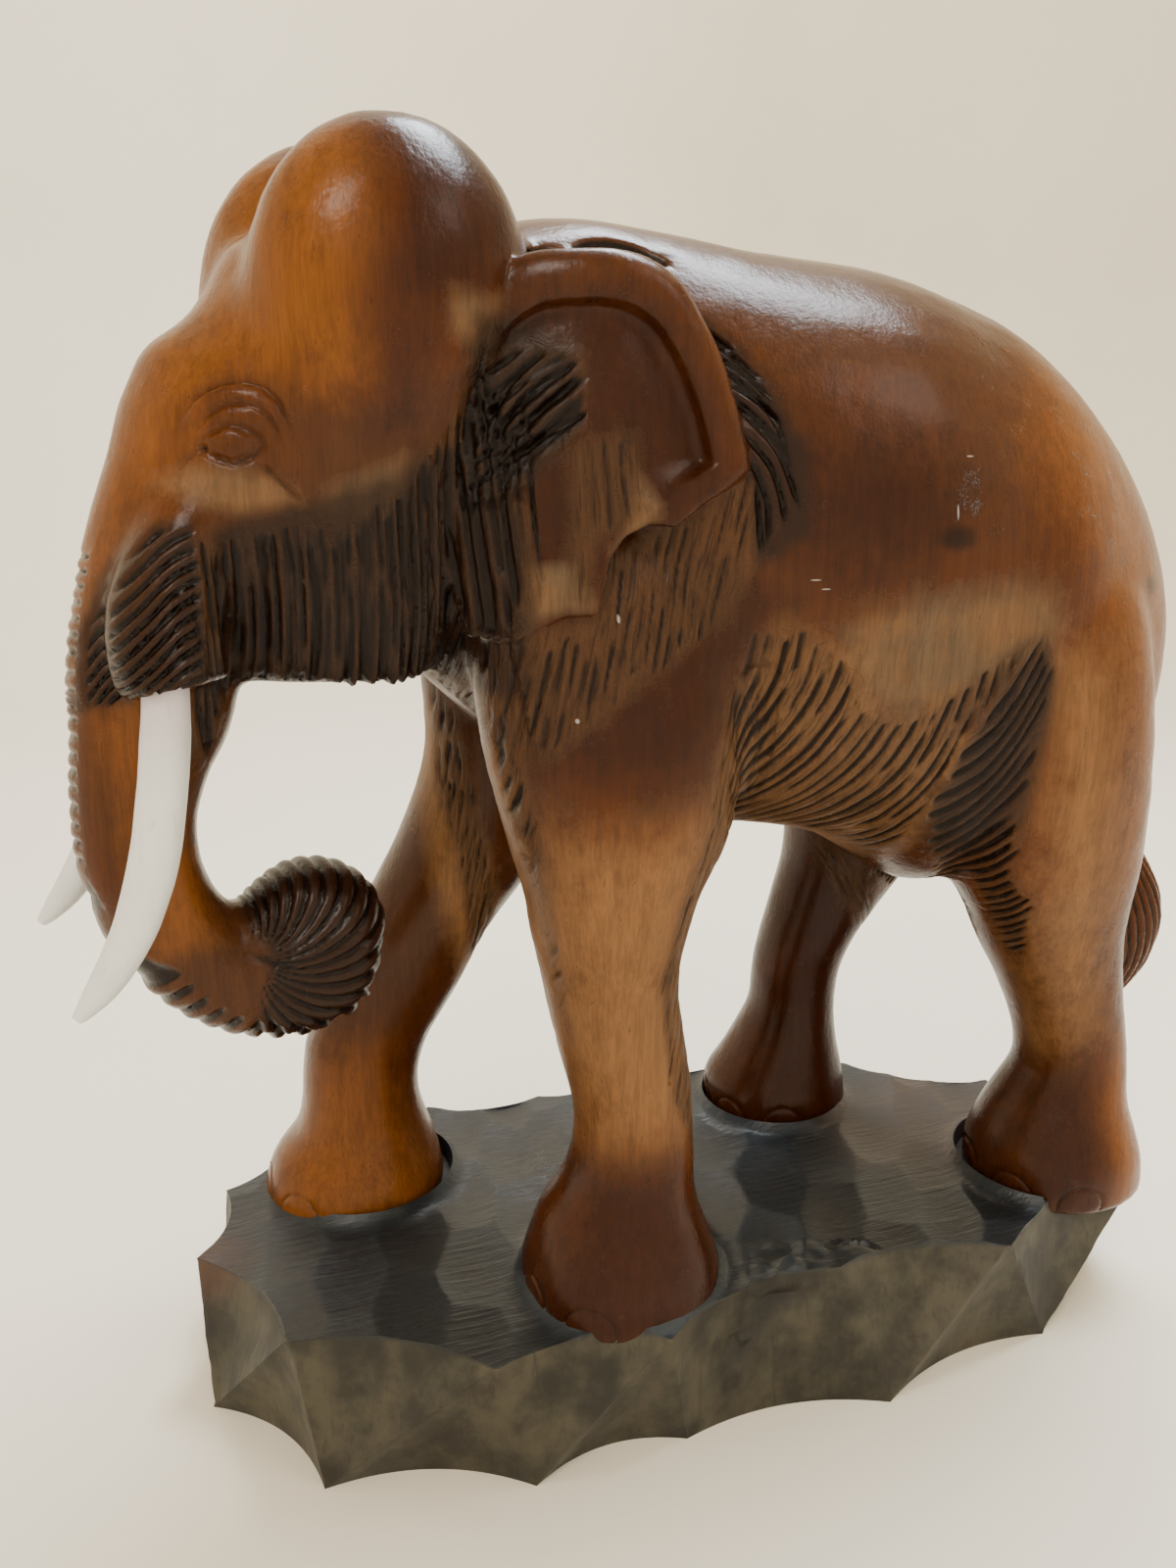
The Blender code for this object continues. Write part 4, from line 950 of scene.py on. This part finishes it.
def makeTusk(name, side):
    rings = tuskRings(side)
    bpy.ops.object.select_all(action="DESELECT")
    bpy.ops.mesh.primitive_circle_add(vertices=tusks["corners"], radius=0.006, fill_type="NGON", location=(0, 0, 0))
    obj = bpy.context.active_object
    obj.name = name
    bpy.ops.object.mode_set(mode="EDIT")
    edit = bmesh.from_edit_mesh(obj.data)
    for place, ring in enumerate(rings):
        if place:
            bpy.ops.mesh.extrude_region_move(TRANSFORM_OT_translate={"value": (0, 0, 0.001)})
            edit = bmesh.from_edit_mesh(obj.data)
        face = next(face for face in edit.faces if face.select)
        if not place:
            order = {vert.index: index for index, vert in enumerate(face.verts)}
            for vert in face.verts:
                vert.co = toMetres([ring[order[vert.index]]])[0]
        else:
            # each new corner follows the old corner that it grew from
            for vert in face.verts:
                old = next(edge.other_vert(vert) for edge in vert.link_edges if not edge.other_vert(vert).select)
                gaps = np.linalg.norm(toMetres(rings[place - 1]) - old.co, axis=1)
                vert.co = toMetres([ring[int(np.argmin(gaps))]])[0]
        bmesh.update_edit_mesh(obj.data)
    bpy.ops.mesh.select_all(action="SELECT")
    bpy.ops.mesh.normals_make_consistent(inside=False)
    bpy.ops.object.mode_set(mode="OBJECT")
    bevel = obj.modifiers.new("rootEdge", "BEVEL")
    bevel.width = 0.0006
    bevel.segments = 2
    bevel.limit_method = "ANGLE"
    rounding = obj.modifiers.new("rounding", "SUBSURF")
    rounding.levels = rounding.render_levels = tusks["levels"]
    finishModifiers(obj)
    coords = toMillimetres(obj.data)
    normals = normalsOf(obj.data)
    x, y, z = coords.T
    whittled = 0.10 + 0.10 * mottle(x, y, z * 0.4, 3.0, 12) + 0.05 * mottle(x, y, z * 0.5, 1.2, 13)
    coords -= normals * whittled[:, None]
    moveTo(obj.data, coords)
    bpy.ops.object.shade_smooth()
    return obj


class Value:
    def __init__(self, finish, socket):
        self.finish, self.socket = finish, socket

    def maths(self, operation, first, second):
        return self.finish.node("ShaderNodeMath", {"operation": operation}, {0: first, 1: second})

    def __add__(self, other):
        return self.maths("ADD", self, other)

    def __radd__(self, other):
        return self.maths("ADD", other, self)

    def __sub__(self, other):
        return self.maths("SUBTRACT", self, other)

    def __rsub__(self, other):
        return self.maths("SUBTRACT", other, self)

    def __mul__(self, other):
        return self.maths("MULTIPLY", self, other)

    def __rmul__(self, other):
        return self.maths("MULTIPLY", other, self)

    def clamped(self):
        return self.finish.node("ShaderNodeClamp", {}, {"Value": self})

    def between(self, low, high):
        return self.finish.node("ShaderNodeMapRange", {"interpolation_type": "SMOOTHSTEP"},
                                {"Value": self, "From Min": low, "From Max": high})

    def most(self, other):
        return self.maths("MAXIMUM", self, other)


class Finish:
    def __init__(self, name):
        self.material = bpy.data.materials.new(name)
        self.material.use_nodes = True
        self.tree = self.material.node_tree
        self.shader = self.tree.nodes["Principled BSDF"]
        self.place = self.node("ShaderNodeTexCoord", {}, {}, "Object")

    def node(self, kind, settings, values, output=0):
        node = self.tree.nodes.new(kind)
        for key, value in settings.items():
            setattr(node, key, value)
        for key, value in values.items():
            self.feed(node.inputs[key], value)
        return Value(self, node.outputs[output])

    def feed(self, socket, value):
        if isinstance(value, Value):
            self.tree.links.new(value.socket, socket)
        elif isinstance(value, (tuple, list)) and len(value) == 3 and len(socket.default_value) == 4:
            socket.default_value = (*value, 1.0)
        else:
            socket.default_value = value

    def attribute(self, name):
        return self.node("ShaderNodeAttribute", {"attribute_name": name}, {}, "Fac")

    def stretched(self, scale, turn=(0.0, 0.0, 0.0)):
        return self.node("ShaderNodeMapping", {}, {"Vector": self.place, "Scale": scale, "Rotation": turn})

    def noise(self, scale, detail=2.0, rough=0.5, vector=None):
        return self.node("ShaderNodeTexNoise", {}, {"Vector": vector or self.place, "Scale": scale,
                                                    "Detail": detail, "Roughness": rough})

    def blend(self, amount, first, second, kind="MIX"):
        # the colour sockets of a Mix node are its seventh and eighth
        return self.node("ShaderNodeMix", {"data_type": "RGBA", "blend_type": kind},
                         {0: amount, 6: first, 7: second}, 2)

    def spot(self, centre, radii, soft=0.5, wander=None):
        place = self.node("ShaderNodeVectorMath", {"operation": "SUBTRACT"},
                          {0: self.place, 1: tuple(toMetres([centre])[0])})
        place = self.node("ShaderNodeVectorMath", {"operation": "DIVIDE"},
                          {0: place, 1: tuple(radius / 1000 for radius in radii)})
        away = self.node("ShaderNodeVectorMath", {"operation": "LENGTH"}, {0: place}, "Value")
        if wander is not None:
            away = away + wander
        return 1 - away.between(1 - soft, 1 + soft)

    def spots(self, marks, soft, wander=None):
        together, *others = [self.spot(centre, radii, soft, wander) for centre, radii in marks]
        for spot in others:
            together = together.most(spot)
        return together

    def bump(self, height, strength):
        return self.node("ShaderNodeBump", {}, {"Height": height, "Distance": 1.0, "Strength": strength})

    def set(self, **values):
        for key, value in values.items():
            self.feed(self.shader.inputs[key.replace("_", " ")], value)


woodColours = {
    "base": (0.070, 0.0175, 0.0020), "amber": (0.168, 0.054, 0.0080), "darkRed": (0.023, 0.0048, 0.0009),
    "brown": (0.055, 0.019, 0.0060), "tan": (0.20, 0.096, 0.036), "taupe": (0.115, 0.077, 0.044),
    "black": (0.013, 0.0058, 0.0034), "groove": (0.0045, 0.0018, 0.0009), "paintedSheen": (0.10, 0.12, 0.13),
    "wear": (0.13, 0.062, 0.022), "hair": (0.060, 0.029, 0.012),
    "paleMark": (0.45, 0.42, 0.39),
}
woodFinish = {"roughness": 0.25, "duller": 0.26, "lacquer": 0.05, "lacquerRoughness": 0.2, "sheen": 0.13,
              "relief": 0.75}


# small marks in millimetres: centre, half sizes
smallMarks = {
    "pale": [((-63, -64, 191), (0.5, 8, 0.6)), ((-51, -64, 217), (0.4, 8, 1.1)), ((5, -68, 225.5), (1.5, 8, 0.2)),
             ((8, -68, 223), (1.3, 8, 0.2)), ((48, -68, 243), (0.3, 8, 2.0)), ((53, -68, 258), (1.4, 8, 0.25))],
    "knot": [((139, -40, 218), (4.5, 14, 3.6)), ((48, -68, 236), (5.5, 8, 3.0))],
}


def carvedWood():
    finish = Finish("carvedWood")
    broad = finish.noise(14.0, 3.0)
    cloud = finish.noise(42.0, 4.0, 0.6)
    blotch = finish.noise(130.0, 4.0, 0.62)
    grain = finish.noise(300.0, 4.0, 0.6, finish.stretched((1.0, 1.0, 0.05)))
    fine = finish.noise(1000.0, 2.0, 0.6, finish.stretched((1.0, 1.0, 0.07)))
    speck = finish.noise(1500.0, 3.0, 0.7)
    cut = finish.attribute("cut")
    hairy = finish.attribute("hairy").clamped()
    strand = finish.node("ShaderNodeCombineXYZ", {}, {0: finish.attribute("flowAcross") * 1.25,
                                                     1: finish.attribute("flowAlong") * 0.075})
    strands = finish.noise(1.0, 3.0, 0.55, strand)
    wander = (blotch - 0.5) * 0.55 + (cloud - 0.5) * 0.5
    tint = {name: (finish.attribute(name) + wander).between(0.1, 0.9) for name in tints if name != "taupe"}
    faded = (finish.attribute("taupe") + (cloud - 0.5) * 0.5 + (blotch - 0.5) * 0.5).between(0.15, 0.95)
    colour = finish.blend(broad.between(0.35, 0.65), woodColours["base"], woodColours["brown"])
    colour = finish.blend(tint["brown"] * 0.85, colour, woodColours["brown"])
    colour = finish.blend(tint["amber"] * 0.92, colour, woodColours["amber"])
    colour = finish.blend(tint["tan"] * 0.85, colour, woodColours["tan"])
    colour = finish.blend(tint["darkRed"] * 0.88, colour, woodColours["darkRed"])
    # darker stain has pooled in soft blotches, and the wood's grain shows through as upright streaks
    pooled = (cloud * 0.6 + blotch * 0.4).between(0.52, 0.68)
    colour = finish.blend(pooled * 0.5, colour, finish.blend(0.6, colour, woodColours["darkRed"]))
    warm = cloud.between(0.4, 0.62)
    colour = finish.blend(faded * 0.72, colour, finish.blend(warm * 0.6, woodColours["taupe"], woodColours["tan"]))
    colour = finish.blend(hairy * 0.6, colour, woodColours["hair"])
    streak = grain.between(0.25, 0.75) * 0.30 + fine.between(0.3, 0.7) * 0.26 + 0.7
    colour = finish.blend(1.0, colour, finish.node("ShaderNodeCombineColor", {}, {0: streak, 1: streak, 2: streak}),
                          "MULTIPLY")
    colour = finish.blend(tint["black"] * 0.82, colour, woodColours["black"])
    pores = fine.between(0.64, 0.72) * (speck.between(0.4, 0.6) * 0.6 + 0.2)
    colour = finish.blend(pores * 0.7, colour, woodColours["groove"])
    colour = finish.blend(strands.between(0.5, 0.66) * hairy * 0.6, colour, woodColours["groove"])
    # painted highlight: a speckled bluish-grey sheen on the dome top, back and rump
    colour = finish.blend(tint["paintedSheen"] * (blotch * 0.5 + speck * 0.5).between(0.56, 0.62) * 0.4, colour,
                          woodColours["paintedSheen"])
    # worn crests beside the valleys; the valleys get painted shade, darker the deeper they are cut
    grooveShade = cut.between(0.22, 1.0)
    crest = hairy * (1 - cut.between(0.0, 0.35)) * speck.between(0.45, 0.6)
    colour = finish.blend(crest * 0.16, colour, woodColours["wear"])
    # painted shade in the carved grooves, eye lines and hair cuts, set by their depth
    colour = finish.blend(grooveShade * 0.93, colour, woodColours["groove"])
    colour = finish.blend(finish.spots(smallMarks["knot"], 0.6, wander) * 0.75, colour, woodColours["groove"])
    colour = finish.blend(finish.spots(smallMarks["pale"], 0.2) * 0.6, colour, woodColours["paleMark"])
    dull = faded.most(tint["tan"] * 0.75).most(hairy * 0.35)
    roughness = woodFinish["roughness"] + dull * woodFinish["duller"] + (speck - 0.5) * 0.10 + (blotch - 0.5) * 0.12
    peel = finish.noise(620.0, 2.0, 0.5)
    height = (grain * 0.00012 + fine * 0.00009 + speck * 0.00006 + blotch * 0.0003 + peel * 0.00012
              + strands * hairy * 0.0006)
    finish.set(Base_Color=colour, Roughness=roughness, Normal=finish.bump(height, woodFinish["relief"]),
               Coat_Weight=(1 - dull) * woodFinish["lacquer"], Coat_Roughness=woodFinish["lacquerRoughness"],
               Specular_IOR_Level=woodFinish["sheen"])
    return finish.material


baseColours = {
    "sideDark": (0.015, 0.0135, 0.0095), "sidePale": (0.054, 0.047, 0.030), "sideStreak": (0.015, 0.012, 0.010),
    "topDark": (0.006, 0.0075, 0.0090), "topPaintedSheen": (0.024, 0.032, 0.040), "tear": (0.008, 0.008, 0.008),
    "rubbed": (0.070, 0.030, 0.018), "hollow": (0.007, 0.006, 0.006), "sheen": 0.3,
}


def blackenedWood():
    finish = Finish("blackenedWood")
    top = finish.attribute("topSide")
    patch = finish.attribute("patch")
    low = finish.attribute("low")
    broad = finish.noise(22.0, 3.0)
    cloud = finish.noise(60.0, 4.0, 0.6)
    tears = finish.noise(420.0, 4.0, 0.65, finish.stretched((0.08, 1.0, 1.0), (0, 0, 0.1)))
    upright = finish.noise(420.0, 4.0, 0.6, finish.stretched((1.0, 1.0, 0.09)))
    speck = finish.noise(1300.0, 2.0, 0.6)
    sideColour = finish.blend(cloud.between(0.35, 0.7), baseColours["sideDark"], baseColours["sidePale"])
    sideColour = finish.blend(upright.between(0.55, 0.7) * 0.5, sideColour, baseColours["sideStreak"])
    # painted sheen: each gouge patch on the black top gets its own amount of bluish sheen
    topColour = finish.blend(patch * 0.7 + cloud * 0.3, baseColours["topDark"], baseColours["topPaintedSheen"])
    topColour = finish.blend(tears.between(0.55, 0.72) * 0.7, topColour, baseColours["tear"])
    colour = finish.blend(top, sideColour, topColour)
    rubbed = finish.spot((-166, 14, 0), (14, 12, 12)).most(finish.spot((112, 10, 0), (44, 34, 10)) * 0.55)
    colour = finish.blend(rubbed * 0.6, colour, baseColours["rubbed"])
    # painted shade in the gouge hollows, the broken place and the pit
    colour = finish.blend(low * 0.6, colour, baseColours["hollow"])
    height = tears * top * 0.00055 + upright * (1 - top) * 0.00022 + speck * 0.00006
    roughness = 0.52 - top * 0.18 + (broad - 0.5) * 0.3 + (speck - 0.5) * 0.1
    finish.set(Base_Color=colour, Roughness=roughness, Normal=finish.bump(height, 0.9),
               Specular_IOR_Level=baseColours["sheen"])
    return finish.material


paintColours = {
    "cool": (0.66, 0.67, 0.66), "warm": (0.80, 0.79, 0.74), "root": (0.50, 0.42, 0.47), "thin": (0.45, 0.42, 0.38),
}


def tuskPaint():
    finish = Finish("tuskPaint")
    brush = finish.noise(420.0, 3.0, 0.6, finish.stretched((1.0, 1.0, 0.12), (0.25, 0.2, 0)))
    cloud = finish.noise(90.0, 3.0)
    speck = finish.noise(1500.0, 2.0)
    height = finish.node("ShaderNodeSeparateXYZ", {}, {0: finish.place}, 2)
    root = height.between(0.222, 0.250)
    colour = finish.blend(cloud, paintColours["cool"], paintColours["warm"])
    colour = finish.blend(root * 0.75, colour, paintColours["root"])
    colour = finish.blend(brush.between(0.58, 0.75) * 0.35, colour, paintColours["thin"])
    relief = brush * 0.00016 + speck * 0.00004
    finish.set(Base_Color=colour, Roughness=0.42 + (cloud - 0.5) * 0.2, Normal=finish.bump(relief, 0.7))
    return finish.material


def paleFloor():
    finish = Finish("paleFloor")
    colour = stage["floorColour"]
    deeper = tuple(0.94 * value for value in colour)
    finish.set(Base_Color=finish.blend(finish.noise(6.0), colour, deeper), Roughness=0.6)
    return finish.material


def dress(obj, material, node):
    obj.data.materials.clear()
    obj.data.materials.append(material)
    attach(obj, "root")
    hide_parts(node)


stage = {
    "floorColour": (0.86, 0.80, 0.68), "worldColour": (0.62, 0.56, 0.50), "worldStrength": 0.07,
    # place, what it points at, size, power, colour
    "lights": {
        "overhead": ((0.42, 0.24, 1.35), (0, 0, 0.2), (0.8, 0.36), 32, (0.84, 0.92, 1.0)),
        "frontLeft": ((-0.75, -0.95, 1.5), (-0.05, 0, 0.2), (0.5, 0.5), 15, (1.0, 0.93, 0.84)),
        "frontRight": ((0.95, -0.9, 1.3), (0, 0, 0.15), (0.5, 0.5), 4, (1.0, 0.93, 0.84)),
        "backdrop": ((0.1, 0.9, 1.7), (0.1, 2.2, 0.5), (1.6, 0.8), 18, (1.0, 0.96, 0.9)),
    },
    "camera": (-0.155633, -0.3585, 0.302), "pitch": math.radians(15), "turn": math.radians(20), "lens": 27.45,
}


def makeFloor():
    bpy.ops.object.select_all(action="DESELECT")
    bpy.ops.mesh.primitive_plane_add(size=3.2, location=(0.1, 0.3, 0))
    floor = bpy.context.active_object
    floor.name = "paleFloor"
    bpy.ops.object.transform_apply(location=True)
    bpy.ops.object.mode_set(mode="EDIT")
    edit = bmesh.from_edit_mesh(floor.data)
    for edge in edit.edges:
        edge.select_set(all(vert.co.y > 1.8 for vert in edge.verts))
    bmesh.update_edit_mesh(floor.data)
    bpy.ops.mesh.extrude_region_move(TRANSFORM_OT_translate={"value": (0, 0, 2.4)})
    bpy.ops.mesh.select_all(action="SELECT")
    bpy.ops.object.mode_set(mode="OBJECT")
    bend = floor.modifiers.new("bend", "BEVEL")
    bend.width = 0.7
    bend.segments = 24
    finishModifiers(floor)
    bpy.ops.object.shade_smooth()
    floor.data.materials.append(paleFloor())


def addSoftLight(name, place, aim, size, power, colour):
    bpy.ops.object.light_add(type="AREA", location=place)
    lamp = bpy.context.active_object
    lamp.name = name
    lamp.data.shape = "RECTANGLE"
    lamp.data.size, lamp.data.size_y = size
    lamp.data.energy = power
    lamp.data.color = colour
    lamp.rotation_euler = (Vector(aim) - Vector(place)).to_track_quat("-Z", "Y").to_euler()


def lightStage():
    world = bpy.data.worlds.new("studio")
    bpy.context.scene.world = world
    world.use_nodes = True
    world.node_tree.nodes["Background"].inputs["Color"].default_value = (*stage["worldColour"], 1)
    world.node_tree.nodes["Background"].inputs["Strength"].default_value = stage["worldStrength"]
    for name, settings in stage["lights"].items():
        addSoftLight(name, *settings)


def placeCamera():
    bpy.ops.object.camera_add(location=stage["camera"])
    camera = bpy.context.active_object
    pitch, turn = stage["pitch"], stage["turn"]
    forward = Vector((math.cos(pitch) * math.sin(turn), math.cos(pitch) * math.cos(turn), -math.sin(pitch)))
    camera.rotation_euler = forward.to_track_quat("-Z", "Y").to_euler()
    camera.data.lens = stage["lens"]
    camera.data.sensor_width = 36
    camera.data.clip_start = 0.01
    bpy.context.scene.camera = camera


print("camera, floor and light")
placeCamera()
makeFloor()
lightStage()
print("roughing out the elephant")
elephant = roughOutElephant()
print("carving the elephant:", len(elephant.data.vertices), "points")
carveElephant(elephant)
thin(elephant, body["triangles"])
print("carving the base")
block = shapeBase()
carveBase(block)
thin(block, base["triangles"])
bpy.ops.object.shade_smooth_by_angle(angle=math.radians(base["arrisAngle"]))
print("making the tusks")
leftTusk = makeTusk("leftTusk", -1)
rightTusk = makeTusk("rightTusk", 1)
print("finishing")
paint = tuskPaint()
dress(elephant, carvedWood(), "elephant_and_base")
dress(block, blackenedWood(), "elephant_and_base")
dress(leftTusk, paint, "tusk_left")
dress(rightTusk, paint, "tusk_right")
bpy.ops.object.select_all(action="DESELECT")
bpy.context.view_layer.update()
